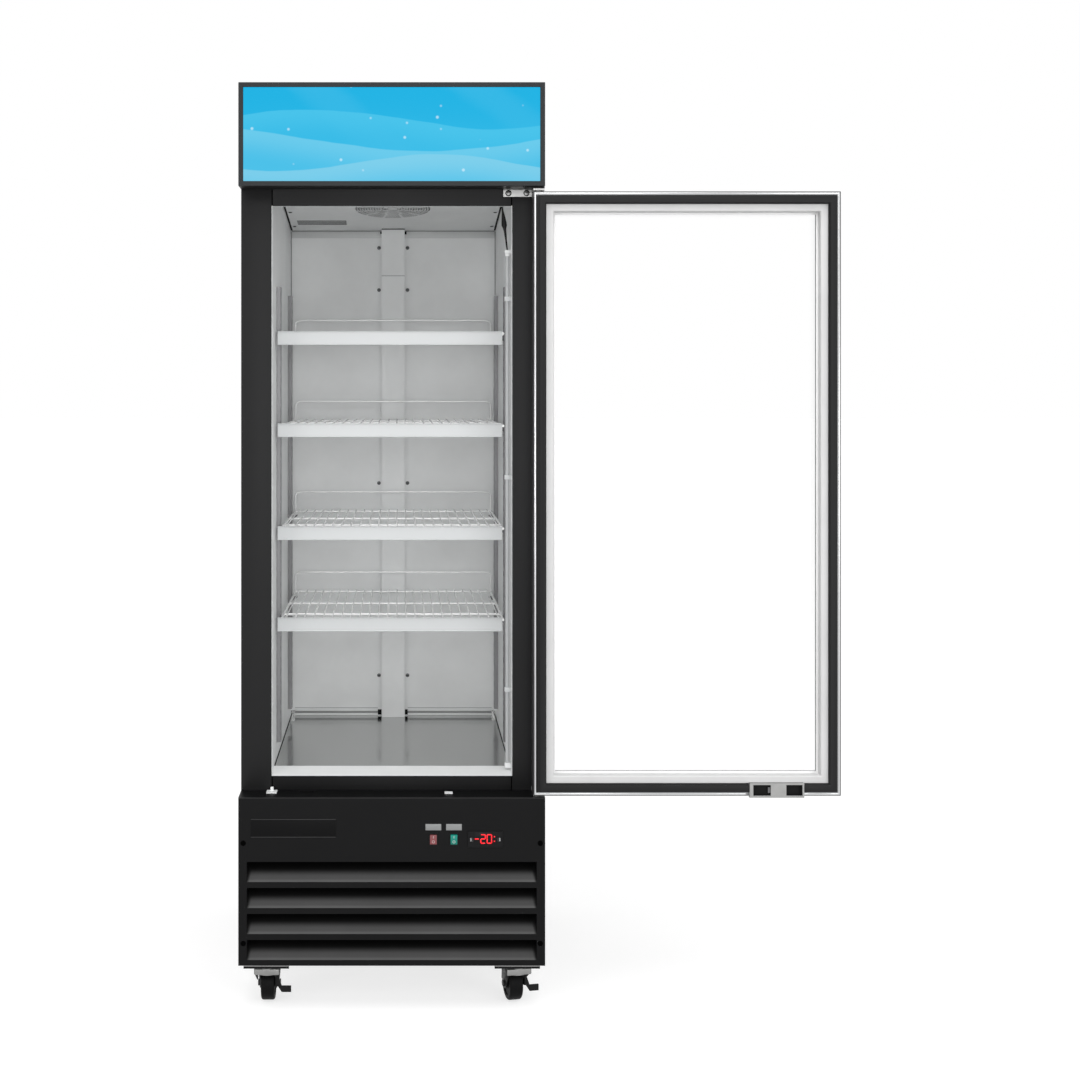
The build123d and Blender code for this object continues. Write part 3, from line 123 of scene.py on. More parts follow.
class Value:
    """A socket that can be added, scaled and compared like a number."""

    __add__, __radd__ = operator_pair("ADD")
    __sub__, __rsub__ = operator_pair("SUBTRACT")
    __mul__, __rmul__ = operator_pair("MULTIPLY")
    __truediv__, __rtruediv__ = operator_pair("DIVIDE")
    __pow__, __rpow__ = operator_pair("POWER")
    __mod__, __rmod__ = operator_pair("FLOORED_MODULO")
    __lt__, __gt__ = operator_pair("LESS_THAN")

    def __init__(self, wiring, socket):
        self.wiring = wiring
        self.socket = socket

    def __abs__(self):
        return self.wiring.math("ABSOLUTE", self)


print("sums ready: + - * / ** % < abs")

# %% The tree that a socket belongs to
class Wiring:
    """One node tree and the ways to add to it."""

    def __init__(self, tree):
        self.tree = tree

    def node(self, kind, settings=None, inputs=None, output=0):
        """Adds a node, its options first and then its sockets, and hands back one of its outputs."""
        made = self.tree.nodes.new(kind)
        for key, value in (settings or {}).items():
            setattr(made, key, value)
        for key, value in (inputs or {}).items():
            self.link(value, made.inputs[key])
        return Value(self, made.outputs[output])

    def link(self, value, socket):
        if isinstance(value, Value):
            self.tree.links.new(value.socket, socket)
        else:
            socket.default_value = value

    def math(self, operation, *values):
        return self.node("ShaderNodeMath", {"operation": operation}, dict(enumerate(values)))


print("wiring ready")

# %% [markdown]
# ## What every finish is built from
# The real surfaces vary in the same few ways: a cloudy tone, an uneven gloss and a fine relief. Each of
# these could be wired afresh in every material. Here they are methods of one class, so that a finish
# below reads as a short recipe, and all of them draw on the same noise in Object coordinates.

# %% The Finish class
class Finish(Wiring):
    """One procedural material on the Principled shader."""

    def __init__(self, name, **constants):
        self.material = bpy.data.materials.new(name)
        self.material.use_nodes = True
        super().__init__(self.material.node_tree)
        self.shader = self.tree.nodes["Principled BSDF"]
        self.feed(**constants)

    def feed(self, **sockets):
        """Sets the shader's sockets, a constant directly and a Value by a link."""
        for socket, value in sockets.items():
            self.link(value, self.shader.inputs[socket.replace("_", " ")])
        return self

    def split(self, vector):
        """The x, y and z of a vector."""
        parts = self.node("ShaderNodeSeparateXYZ", {}, {"Vector": vector}).socket.node.outputs
        return [Value(self, part) for part in parts]

    def axes(self):
        """Where a point of the surface is, in metres."""
        return self.split(self.node("ShaderNodeTexCoord", output="Object"))

    def facing(self):
        """Which way the surface looks."""
        return self.split(self.node("ShaderNodeNewGeometry", output="Normal"))

    def place(self, stretch):
        """Object coordinates, drawn out along an axis where stretch is below 1."""
        spot = self.node("ShaderNodeTexCoord", output="Object")
        return self.node("ShaderNodeMapping", {}, {"Vector": spot, "Scale": stretch})

    def noise(self, scale, detail=3.0, stretch=(1, 1, 1), rough=0.55):
        inputs = {"Vector": self.place(stretch), "Scale": scale, "Detail": detail, "Roughness": rough}
        return self.node("ShaderNodeTexNoise", {}, inputs, "Fac")

    def smooth(self, value, low, high):
        """A soft step from 0 to 1 as the value goes from low to high."""
        settings = {"interpolation_type": "SMOOTHSTEP"}
        inputs = {"Value": value, "From Min": low, "From Max": high}
        return self.node("ShaderNodeMapRange", settings, inputs)

    def mix(self, factor, low, high):
        """A colour between two; a Mix node's colours are its sockets 6 and 7, and its output 2."""
        low, high = [(*c, 1.0) if isinstance(c, tuple) else c for c in (low, high)]
        return self.node("ShaderNodeMix", {"data_type": "RGBA"}, {0: factor, 6: low, 7: high}, 2)

    def tinted(self, shade, color, dark, light):
        """A colour times dark where shade is 0, and times light where it is 1."""
        return self.mix(shade, *[tuple(min(1.0, c * scale) for c in color) for scale in (dark, light)])

    def coat(self, tone, shade, rough, swing):
        """Sets the tone, and a roughness that swings about rough with shade."""
        return self.feed(Base_Color=tone, Roughness=rough - swing + shade * (2 * swing))

    def bump(self, height, depth):
        """Fine relief; the depth is in millimetres."""
        inputs = {"Height": height, "Distance": depth / MM}
        return self.feed(Normal=self.node("ShaderNodeBump", {}, inputs, "Normal"))


print("finish class ready")

# %% [markdown]
# ## Powder coat
# Most of the freezer is painted sheet and wire. Powder coat has a fine orange peel, and no two panels are
# quite the same black. Where asked for, upward faces are made paler: part dust, part painted top light. A
# single colour would look like card, so each coat gets clouds of tone and gloss and a peel about 1 mm
# across, worked out from noise.

# %% Painted finishes
UPWARD = (0.15, 0.55)  # a face counts as upward as its normal's z goes from the first to the second
DUST_AND_LIGHT_GREY = (0.32, 0.31, 0.30)


def painted(name, color, rough, peel=0.04, specular=0.5, dust_and_painted_light=0.0, metallic=0.0):
    """Powder coat: an orange peel bump, slightly uneven gloss, and paler upward faces from dirt and painted
    top light.
    """
    finish = Finish(name, Specular_IOR_Level=specular, Metallic=metallic)
    cloud = finish.noise(scale=6.0, detail=4.0)
    tone = finish.tinted(cloud, color, dark=0.86, light=1.12)
    # Upward faces go paler grey: part dust, part painted top light.
    if dust_and_painted_light:
        up = finish.smooth(finish.facing()[2], *UPWARD)
        tone = finish.mix(up * (0.5 + cloud * 0.5) * dust_and_painted_light, tone, DUST_AND_LIGHT_GREY)
    finish.coat(tone, cloud, rough, swing=0.06)
    return finish.bump(finish.noise(scale=900.0, detail=2.0), peel).material


black_coat = painted("black_powder_coat", (0.0125, 0.0125, 0.013), 0.46, specular=0.15, dust_and_painted_light=0.05)
rear_coat = painted("black_rear_coat", (0.014, 0.014, 0.0145), 0.55, specular=0.2)
liner_coat = painted("grey_liner_coat", (0.79, 0.80, 0.80), 0.42, peel=0.02, specular=0.3)
cover_coat = painted("grey_cover_coat", (0.79, 0.80, 0.80), 0.46, peel=0.02, specular=0.3)
# A darker grey for the painted shade band under the ceiling.
head_shade_coat = painted("grey_flange_coat", (0.66, 0.67, 0.67), 0.46, peel=0.02, specular=0.3)
plate_coat = painted("black_plate_coat", (0.0036, 0.0036, 0.0038), 0.50, specular=0.08)
guard_coat = painted("grey_guard_coat", (0.30, 0.305, 0.305), 0.46, peel=0.02, specular=0.3)
wire_coat = painted("white_wire_coat", (0.96, 0.965, 0.965), 0.24, peel=0.01, metallic=0.14)
lever_coat = painted("black_lever_coat", (0.006, 0.006, 0.0063), 0.40, specular=0.15)
bezel_coat = painted("black_bezel_coat", (0.019, 0.0215, 0.0235), 0.42, specular=0.2)
can_coat = painted("black_can_coat", (0.015, 0.015, 0.016), 0.30)
print("painted finishes made")

# %% [markdown]
# ## The louvred panel's black, with painted shade and light
# The slats of the lower panel lean back into the dark, so their faces get a darker black as painted shade.
# Towards each lower lip they go paler, part dust and part painted light where the lips catch it, and they
# stay dark towards the louvre's ends as painted shade. Such marks could be painted as a texture; here the
# height above each lip is the remainder of z after whole louvre pitches, so one short sum finds every lip.

# %% Louvre coat
LOUVRE_LOW, LOUVRE_PITCH, LOUVRE_TOP, LOUVRE_HALF = 115.0, 58.1, 345.0, 324.0
# Bands in millimetres: above each lip dust and painted light fade out; at the louvre's ends painted shade
# sets in.
DUST_AND_LIGHT_RISE, LIP_RISE, END_SHADE_FADE = (10.0, 24.0), (2.0, 6.0), (-1.0, 7.0)


def louvre_coat():
    """Black coat; slats get painted shade, paler near each lip from dirt and painted light, dark at either
    end.
    """
    finish = Finish("black_panel_coat", Specular_IOR_Level=0.10)
    cloud = finish.noise(scale=6.0, detail=4.0)
    across, _, height = [axis * MM for axis in finish.axes()]
    rise = (height - LOUVRE_LOW) % LOUVRE_PITCH
    shaded_slat = finish.smooth(finish.facing()[2], *UPWARD) * (height < LOUVRE_TOP)
    end_shade = finish.smooth(LOUVRE_HALF - abs(across) - rise * 0.2, *END_SHADE_FADE)
    flat = 1.0 - finish.smooth(rise, *DUST_AND_LIGHT_RISE)
    lip = 1.0 - finish.smooth(rise, *LIP_RISE)
    tone = finish.mix(cloud, (0.0036, 0.0036, 0.0039), (0.0052, 0.0052, 0.0055))
    # Slat faces get a darker black: painted shade where they lean back into the dark.
    tone = finish.mix(shaded_slat, tone, (0.0015, 0.0015, 0.0015))
    # Paler near each lip, part dust and part painted light; held dark near the ends as painted shade.
    dust_and_painted_light = shaded_slat * end_shade * (0.8 + cloud * 0.4) * (flat * 0.175 + lip * 0.07)
    tone = finish.mix(dust_and_painted_light, tone, (0.31, 0.31, 0.31))
    finish.coat(tone, cloud, rough=0.42, swing=0.06)
    return finish.bump(finish.noise(scale=900.0, detail=2.0), 0.04).material


panel_coat = louvre_coat()
print("louvre coat made")

# %% [markdown]
# ## Bare and plated metal
# The casters, hinges and lock are zinc plate, which is cloudy with fine pits. The door's rim, the cabin's
# floor and the coils are drawn or rolled, so they carry long fine lines in one direction. The shader's
# own anisotropy could suggest such lines, but noise drawn out along one axis shows them as they are.

# %% Metal finishes
def plated(name, color, rough, clouds=24.0):
    """Zinc plate and mill steel: cloudy, with fine pits."""
    finish = Finish(name, Metallic=1.0)
    cloud = finish.noise(scale=clouds, detail=5.0)
    finish.coat(finish.tinted(cloud, color, dark=0.78, light=1.1), cloud, rough, swing=0.10)
    return finish.bump(finish.noise(scale=420.0, detail=2.0), 0.02).material


def drawn(name, color, rough, along, lines=700.0):
    """Metal with long fine lines along one axis."""
    finish = Finish(name, Metallic=1.0)
    line = finish.noise(lines, 3.0, tuple(0.012 if axis == along else 1.0 for axis in "xyz"))
    cloud = finish.noise(scale=5.0, detail=3.0)
    tone = finish.tinted(line * 0.7 + cloud * 0.3, color, dark=0.86, light=1.1)
    return finish.coat(tone, line, rough, swing=0.08).bump(line, 0.015).material


def fork_zinc(crown_low=70.0, crown_high=74.0):
    """Zinc plate, bright on the turned crown; the legs below it get a near-black tone as painted shade."""
    finish = Finish("fork_zinc", Metallic=1.0)
    cloud = finish.noise(scale=24.0, detail=5.0)
    crown = finish.smooth(finish.axes()[2] * MM, crown_low, crown_high)
    bright = finish.mix(cloud, (0.19, 0.19, 0.187), (0.33, 0.33, 0.325))
    # Below the crown band the legs get a near-black tone: painted shade.
    finish.coat(finish.mix(crown, (0.030, 0.030, 0.031), bright), cloud, rough=0.42, swing=0.10)
    return finish.bump(finish.noise(scale=420.0, detail=2.0), 0.02).material


fork_finish = fork_zinc()
zinc = plated("zinc_plate", (0.33, 0.33, 0.325), 0.40)
bright_zinc = plated("bright_zinc", (0.42, 0.42, 0.415), 0.34)
dark_steel = plated("dark_slotted_steel", (0.16, 0.16, 0.165), 0.46, clouds=14.0)
slotted_steel = plated("slotted_steel", (0.20, 0.20, 0.205), 0.44, clouds=14.0)
motor_steel = plated("motor_steel", (0.42, 0.42, 0.43), 0.45)
floor_sheet = drawn("floor_sheet", (0.50, 0.505, 0.50), 0.15, "x", lines=500.0)
pan_steel = plated("pan_steel", (0.50, 0.50, 0.50), 0.40, clouds=9.0)
door_metal = drawn("door_aluminium", (0.28, 0.285, 0.29), 0.34, "z")
# The rim's bright band is a painted highlight, and its dark edge is painted shade.
rim_highlight_metal = drawn("rim_bead_aluminium", (0.56, 0.565, 0.57), 0.30, "z")
rim_shade_metal = plated("rim_edge_metal", (0.05, 0.05, 0.052), 0.46)
fin_metal = drawn("coil_aluminium", (0.62, 0.63, 0.64), 0.36, "z")
print("metal finishes made")

# %% [markdown]
# ## Plastic, rubber, foam and glass
# Moulded parts take the grain of their mould and are a little uneven in gloss. Foam is the same recipe
# with a coarse grain. The panes are clear glass; real ones are never quite clean, so faint smears are
# put into the roughness, which dims a reflection without tinting what is behind it.

# %% Moulded finishes and glass
def moulded(name, color, rough, grain=0.02, scale=1400.0, specular=0.5, vary=0.08):
    """Moulded plastic or rubber: a fine grain and slightly uneven gloss."""
    finish = Finish(name, Specular_IOR_Level=specular)
    cloud = finish.noise(scale=12.0, detail=3.0)
    finish.coat(finish.tinted(cloud, color, 1 - vary, 1 + vary), cloud, rough, swing=0.05)
    return finish.bump(finish.noise(scale, detail=2.0), grain).material


def window_glass():
    finish = Finish("clear_glass", Base_Color=(1, 1, 1, 1), IOR=1.45, Transmission_Weight=1.0)
    smear = finish.noise(scale=3.0, detail=5.0, stretch=(1, 1, 0.4))
    return finish.feed(Roughness=finish.smooth(smear, 0.45, 0.9) * 0.02).material


white_plastic = moulded("white_nylon", (0.76, 0.77, 0.77), 0.42)
strip_plastic = moulded("white_price_strip", (0.545, 0.56, 0.565), 0.30, grain=0.01, vary=0.02)
bead_plastic = moulded("white_bead_plastic", (0.90, 0.90, 0.90), 0.40, vary=0.03)
glazing_plastic = moulded("grey_glazing_plastic", (0.64, 0.64, 0.64), 0.36)
black_plastic = moulded("black_switch_plastic", (0.006, 0.006, 0.0065), 0.32, specular=0.12)
key_plastic = moulded("grey_key_plastic", (0.030, 0.030, 0.031), 0.38, specular=0.2)
gasket_rubber = moulded("gasket_rubber", (0.0105, 0.0105, 0.011), 0.56, grain=0.03, specular=0.2)
WHEEL_BLACK = (0.0035, 0.0035, 0.0037)
wheel_rubber = moulded("wheel_rubber", WHEEL_BLACK, 0.5, grain=0.06, scale=600.0, specular=0.08)
lead_rubber = moulded("lead_rubber", (0.008, 0.008, 0.0085), 0.46, specular=0.15)
fan_plastic = moulded("fan_plastic", (0.03, 0.03, 0.032), 0.45)
slot_dark = moulded("slot_shadow", (0.010, 0.010, 0.010), 0.7, specular=0.1)
screw_black = moulded("screw_black", (0.0008, 0.0008, 0.0008), 0.8, specular=0.02)
foam = moulded("insulating_foam", (0.80, 0.72, 0.50), 0.85, grain=0.4, scale=300.0)
clear_glass = window_glass()
print("plastic, rubber, foam and glass finishes made")

# %% [markdown]
# ## The lamp and the rockers
# The tube in the cabin and the clear rockers give a little light of their own. Lamps could be put inside
# them, but at this size it is simpler to let the surface glow in its own colour. The rockers' on bar and
# off ring are printed marks, so they are drawn in the material: a bar is where two distances are small,
# a ring is where the distance from a centre is near its radius.

# %% Lamp tube and rocker lenses
ROCKER_X = {"power": 93.0, "light": 139.0}
LENS_Z = (372, 397)  # a rocker's lower and upper end
MARK_PALE, MARK_SHARE = (0.80, 0.78, 0.76), 0.4
BAR_Z, BAR_HALF_WIDE, BAR_HALF_TALL = 390.5, 0.8, 3.2
RING_Z, RING_RADIUS, RING_HALF_WIDE = 379.5, 2.6, 0.6


def glowing(name, low, high, scale, rough, strength):
    """A slightly cloudy surface that gives light of its own colour."""
    finish = Finish(name, Roughness=rough, Emission_Strength=strength)
    tone = finish.mix(finish.noise(scale), low, high)
    return finish.feed(Base_Color=tone, Emission_Color=tone).material


def rocker_lens(name, middle, low_tone, high_tone, glow):
    """A clear coloured rocker with its on bar and off ring."""
    finish = Finish(name, Roughness=0.26, Specular_IOR_Level=0.3, Emission_Strength=glow)
    x, _, z = [axis * MM for axis in finish.axes()]
    tone = finish.mix(finish.smooth(z, *LENS_Z), low_tone, high_tone)
    bar = (abs(x - middle) < BAR_HALF_WIDE) * (abs(z - BAR_Z) < BAR_HALF_TALL)
    distance = ((x - middle) ** 2.0 + (z - RING_Z) ** 2.0) ** 0.5
    ring = abs(distance - RING_RADIUS) < RING_HALF_WIDE
    tone = finish.mix((bar + ring) * MARK_SHARE, tone, MARK_PALE)
    return finish.feed(Base_Color=tone, Emission_Color=tone).material


TUBE_TONES = ((0.38, 0.39, 0.395), (0.44, 0.45, 0.455))
tube_glow = glowing("lamp_tube_glow", *TUBE_TONES, scale=20.0, rough=0.25, strength=0.06)
RED_TONES = ((0.22, 0.06, 0.065), (0.27, 0.09, 0.095))
red_lens = rocker_lens("red_rocker_lens", ROCKER_X["power"], *RED_TONES, glow=0.02)
GREEN_TONES = ((0.003, 0.13, 0.10), (0.014, 0.26, 0.20))
green_lens = rocker_lens("green_rocker_lens", ROCKER_X["light"], *GREEN_TONES, glow=0.22)
print("lamp and rockers made")

# %% [markdown]
# ## The lit sign
# The sign's printed film is only ever seen lit from behind, so its colours go into the emission. A print
# would need a picture file; a plain design of its own needs none: soft light over blue, three rolling
# drifts drawn as sine waves across the panel, and a few flakes from a cell pattern.

# %% Sign film
FILM_DARK = (0.004, 0.02, 0.03, 1.0)
WAVES = (  # level, swing, turns and shift of each drift's crest, and its colour
    (0.66, 0.10, 5.2, 0.4, (0.06, 0.53, 0.79)),
    (0.46, 0.12, 4.1, 2.2, (0.15, 0.58, 0.80)),
    (0.22, 0.09, 6.0, 4.0, (0.21, 0.60, 0.79)),
)


def sign_film():
    """A backlit film: soft light over blue, three drifts below, a few flakes."""
    looks = {"Base_Color": FILM_DARK, "Roughness": 0.2, "Specular_IOR_Level": 0.1}
    finish = Finish("sign_film", Emission_Strength=1.0, **looks)
    x, _, z = finish.axes()
    low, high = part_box("sign_panel")
    up = (z - low.z) / (high.z - low.z)
    across = (x - low.x) / (high.x - low.x)
    tone = finish.mix(finish.smooth(up, 0.1, 0.95), (0.025, 0.46, 0.75), (0.002, 0.42, 0.73))
    drift = finish.noise(scale=3.0, detail=4.0, stretch=(1.0, 1.0, 2.0))
    shaft = finish.math("SINE", (across * 2.2 + up * 0.9) * 5.0 + drift * 2.0)
    tone = finish.mix(finish.smooth(shaft, 0.2, 1.0) * up * 0.13, tone, (0.16, 0.64, 0.86))
    for level, swing, turns, shift, pale in WAVES:
        crest = finish.math("SINE", across * turns + shift) * swing + drift * 0.08 + (level - 0.04)
        depth = crest - up
        body = finish.smooth(depth, 0.0, 0.014)
        fade = 1.0 - finish.smooth(depth, 0.0, 0.34)
        tone = finish.mix(body * (0.22 + fade * 0.62), tone, pale)
    flake_inputs = {"Vector": finish.place((1.0, 0.05, 1.0)), "Scale": 24.0}
    flake = finish.node("ShaderNodeTexVoronoi", {}, flake_inputs, "Distance")
    tone = finish.mix((1.0 - finish.smooth(flake, 0.04, 0.12)) * 0.5, tone, (0.82, 0.95, 1.0))
    return finish.feed(Emission_Color=tone).material


sign_finish = sign_film()
print("sign film made")

# %% [markdown]
# ## Objects and plain meshes
# Pieces begin as a bmesh, a curve or a mesh with modifiers. Modifiers could stay live on a piece, but a
# plain mesh is what other programs read, so each modifier is worked into the mesh and then removed.

# %% Helpers that make objects
def new_object(name, data):
    made = bpy.data.objects.new(name, data)
    scene.collection.objects.link(made)
    return made


def mesh_object(name, work):
    """The object that a finished bmesh makes."""
    mesh = bpy.data.meshes.new(name)
    work.to_mesh(mesh)
    work.free()
    return new_object(name, mesh)


def evaluated(made):
    """The object's mesh with its modifiers worked in and then removed."""
    bpy.context.view_layer.update()
    graph = bpy.context.evaluated_depsgraph_get()
    mesh = bpy.data.meshes.new_from_object(made.evaluated_get(graph))
    made.modifiers.clear()
    if made.type == "MESH":
        made.data = mesh
        return made
    solid = new_object(made.name + "_mesh", mesh)
    bpy.data.objects.remove(made)
    return solid


print("object helpers ready")

# %% [markdown]
# ## Handing a piece over
# Every piece ends the same way: it gets its finish and the body it moves with, and the solids it replaces
# are hidden. The record already says which body each solid has, so a small table read from it saves
# writing them again.

# %% Helpers that finish and attach pieces
RECORD = frame["record"]
BODY_OF = {node: body for body, members in RECORD["behaviour"]["bodies"].items() for node in members}


def paint(node, finish):
    """A solid that keeps its own mesh and only gets a finish."""
    nodes[node].data.materials.clear()
    nodes[node].data.materials.append(finish)


def dress(made, finish, body, replaced=()):
    """Gives a piece its finish, its body and the nodes it stands for."""
    if finish is not None:
        made.data.materials.clear()
        made.data.materials.append(finish)
    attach(made, body)
    if replaced:
        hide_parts(*replaced)
    return made


# %% [markdown]
# ## Edges that catch the light
# Solid models have razor edges, and razor edges never catch the light. So most pieces are copies of
# their solid with the edges rounded by a Bevel modifier, which stand in the solid's place. Weighting the
# normals by area keeps the large faces flat beside those roundings.

# %% Rounded copies
EDGE_ANGLE, SMOOTH_ANGLE, FLAT_ANGLE, MERGE = 40, 50, 0.6, 2e-6


def smooth_by_angle(made, degrees):
    made.data.shade_smooth()
    made.data.set_sharp_from_angle(angle=math.radians(degrees))
    return made


def soften(node, finish, width, segments=2):
    """A copy of a solid with its edges rounded, standing in the solid's place."""
    mesh = nodes[node].data.copy()
    work = bmesh.new()
    work.from_mesh(mesh)
    bmesh.ops.remove_doubles(work, verts=work.verts, dist=MERGE)
    flat = math.radians(FLAT_ANGLE)
    bmesh.ops.dissolve_limit(work, angle_limit=flat, verts=work.verts, edges=work.edges)
    work.to_mesh(mesh)
    work.free()
    made = new_object(node + "_soft", mesh)
    bevel = made.modifiers.new("edge", "BEVEL")
    bevel.width = width / MM
    bevel.segments = segments
    bevel.limit_method = "ANGLE"
    bevel.angle_limit = math.radians(EDGE_ANGLE)
    bevel.use_clamp_overlap = True
    smooth_by_angle(evaluated(made), SMOOTH_ANGLE)
    made.modifiers.new("flat faces", "WEIGHTED_NORMAL").keep_sharp = True
    return dress(evaluated(made), finish, BODY_OF[node], [node])


print("rounding edges sharper than", EDGE_ANGLE, "degrees")

# %% [markdown]
# ## Sheet work as boxes
# Strips, films, beads and seams are flat bars of sheet. One mesh cut to shape would run their faces
# together. Made as separate boxes with rounded edges, sheets that meet flush keep a fine seam between
# them, as on the product.

# %% Rounded boxes
def round_edges(work, edges, width, segments):
    shape = {"segments": segments, "profile": 0.5, "affect": "EDGES"}
    bmesh.ops.bevel(work, geom=list(edges), offset=width / MM, **shape)


def bars(spans, y, z):
    """Boxes that share their y and z ranges, one for each span of x, as low and high corners."""
    return [((a, y[0], z[0]), (b, y[1], z[1])) for a, b in spans]


def box_object(name, boxes, bevel, segments=2):
    """One object of boxes, each with its own rounded edges."""
    work = bmesh.new()
    for low, high in boxes:
        middle = [(a + b) / 2 / MM for a, b in zip(low, high)]
        size = [(b - a) / MM for a, b in zip(low, high)]
        matrix = Matrix.Translation(middle) @ Matrix.Diagonal((*size, 1))
        corners = bmesh.ops.create_cube(work, size=1, matrix=matrix)["verts"]
        edges = dict.fromkeys(edge for corner in corners for edge in corner.link_edges)
        round_edges(work, edges, bevel, segments)
    return smooth_by_angle(mesh_object(name, work), SMOOTH_ANGLE)


def slabs(name, boxes, bevel, finish, body, replaced=(), segments=2):
    """A piece made of rounded boxes."""
    return dress(box_object(name, boxes, bevel, segments), finish, body, replaced)


print("box makers ready")

# %% [markdown]
# ## Cabinet shell and face
# The shell is folded sheet: two sides, a roof and the ceiling of the machine bay. The face round the
# opening is strips that meet at seams in line with the opening's sides, which show as fine dark lines.
# The strips are boxes set a seam's width apart, with a near-black strip behind each seam as painted shade.

# %% Shell and face frame
HALF, TOP, REAR, SHEET, SKIN_LOW = 343.0, 2077.0, 672.0, 1.2, 102.0
INSIDE, ROOF = HALF - SHEET, TOP - SHEET
OPENING, FACE_TOP, BAY_TOP, SILL_TOP = 272.4, 1807.0, 440.0, 510.6
FACE_Y, SEAM = (0, 1.5), 1.3

shell_boxes = bars([(-HALF, -INSIDE), (INSIDE, HALF)], y=(0, REAR), z=(SKIN_LOW, ROOF))
shell_boxes += bars([(-HALF, HALF)], y=(0, REAR), z=(ROOF, TOP))
shell_boxes += bars([(-INSIDE, INSIDE)], y=(FACE_Y[1], REAR - SHEET), z=(BAY_TOP, BAY_TOP + SHEET))
slabs("cabinet_skin", shell_boxes, 0.4, black_coat, "cabinet", ["cabinet_shell"])

stiles = [(-INSIDE, -OPENING - SEAM), (OPENING + SEAM, INSIDE)]
between = [(-OPENING + SEAM, OPENING - SEAM)]
face_boxes = bars(stiles, FACE_Y, z=(BAY_TOP, ROOF)) + bars(between, FACE_Y, z=(FACE_TOP, ROOF))
slabs("face_strips", face_boxes, 0.4, black_coat, "cabinet", ["front_frame"])
slabs("face_sill", bars(between, FACE_Y, z=(BAY_TOP, SILL_TOP)), 0.4, panel_coat, "cabinet")
# A near-black strip behind each seam: painted shade in the gap.
seams = [(x - 4, x + 4) for x in (-OPENING, OPENING)]
seam_shade_boxes = bars(seams, y=(1.1, 1.45), z=(BAY_TOP + 0.2, SILL_TOP - 0.2))
seam_shade_boxes += bars(seams, y=(1.1, 1.45), z=(FACE_TOP + 1, 2075))
slabs("face_seams", seam_shade_boxes, 0.05, screw_black, "cabinet", segments=1)
print("shell and face:", len(shell_boxes) + len(face_boxes) + 1, "sheets")

# %% [markdown]
# ## Liner
# The cabin is lined with grey coated sheet over foam, on a shiny floor that turns up at the rear. The
# solids hold those forms. What they leave out is thin: the rolled bead of the upstands, and lines of
# painted
# shade: shadow under the bead and a thin line above it, dark lines along the floor's edges and beside the
# duct, dark lines in the corners where the rear wall meets its neighbours, and a darker band under the
# ceiling. Bump can't give a line a sharp end, so each is a slip of sheet a few tenths of a millimetre
# thick.

# %% Liner, floor and their lines
UPSTANDS = [(-262, -41), (38.5, 262)]
DUCT_GAPS = [(-41.0, -31.0), (31.0, 38.5)]
PAN_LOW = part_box("evaporator_cover")[0][2] * MM

paint("breaker_strips", white_plastic)
paint("inner_liner", liner_coat)
paint("foam_insulation", foam)
soften("liner_floor", floor_sheet, 0.6)
upstand_beads = bars(UPSTANDS, y=(597.9, 599.9), z=(532.4, 538.4))
slabs("upstand_bead", upstand_beads, 0.6, liner_coat, "cabinet")
upstand_feet = bars(UPSTANDS, y=(598.3, 598.75), z=(520.3, 526.6))
upstand_feet += bars(DUCT_GAPS, y=(597.7, 598.75), z=(520.2, 522.6))
slabs("upstand_foot", upstand_feet, 0.1, liner_coat, "cabinet")
# Grey slips under and above each upstand's bead: painted shadow.
upstand_lines = bars(UPSTANDS, y=(598.3, 598.75), z=(526.6, 532.4))
upstand_lines += bars(UPSTANDS, y=(599.3, 599.9), z=(540.4, 541.4))
slabs("upstand_lines", upstand_lines, 0.05, guard_coat, "cabinet", segments=1)
duct_foot = bars([(-30.4, 30.4)], y=(575.1, 576.1), z=(520.1, 523.4))
slabs("duct_foot", duct_foot, 0.1, liner_coat, "cabinet")
# Dark slips in the gaps beside the duct and along the floor's side edges: painted shade.
floor_seams = bars(DUCT_GAPS, y=(597.6, 598.7), z=(522.5, 536.5))
floor_seams += bars([(-272.2, -270.2), (270.2, 272.2)], y=(60, 597.5), z=(520.05, 521.2))
slabs("floor_seams", floor_seams, 0.05, slot_dark, "cabinet", segments=1)
# Grey lines in the rear corners and where the rear wall meets the ceiling: painted shade.
corner_shade_lines = bars([(-272.3, -270.1), (270.1, 272.3)], y=(599.2, 599.9), z=(541.6, PAN_LOW - 2.8))
corner_shade_lines += bars([(-270.1, 270.1)], y=(599.2, 599.9), z=(PAN_LOW - 2.7, PAN_LOW - 0.1))
slabs("liner_corner_lines", corner_shade_lines, 0.05, guard_coat, "cabinet", segments=1)
# A darker grey band on the rear wall just under the ceiling: painted shade.
head_shade_band = bars([(-270.1, 270.1)], y=(599.4, 599.9), z=(PAN_LOW - 20, PAN_LOW - 2.8))
slabs("liner_head_flange", head_shade_band, 0.1, head_shade_coat, "cabinet", segments=1)
paint("rear_duct_cover", liner_coat)
print("liner dressed, pan at", round(PAN_LOW, 1))

# %% [markdown]
# ## Rear and base
# The rear panel, its air grille and the base pan are pressed sheet that only the side and rear views
# show. Their solids have every form, so rounded copies are all they need.

# %% Rear panel, grille and base pan
soften("rear_panel", rear_coat, 0.4)
soften("rear_grille", rear_coat, 0.4)
soften("base_pan", pan_steel, 0.6)
print("rear and base dressed")

# %% [markdown]
# ## Light box and lower panel
# Both are pressed sheet boxes. The lower panel's hoods are in the solid already; rounding their edges is
# what makes the bright line along each slat. A pale slip along the ledge's folded front edge above them is
# a painted highlight.

# %% Light box and louvred panel
soften("lightbox_housing", black_coat, 1.0)
soften("lightbox_bezel", bezel_coat, 1.2, 3)
paint("sign_panel", sign_finish)
paint("lightbox_lamp", tube_glow)
soften("control_panel", panel_coat, 0.7)
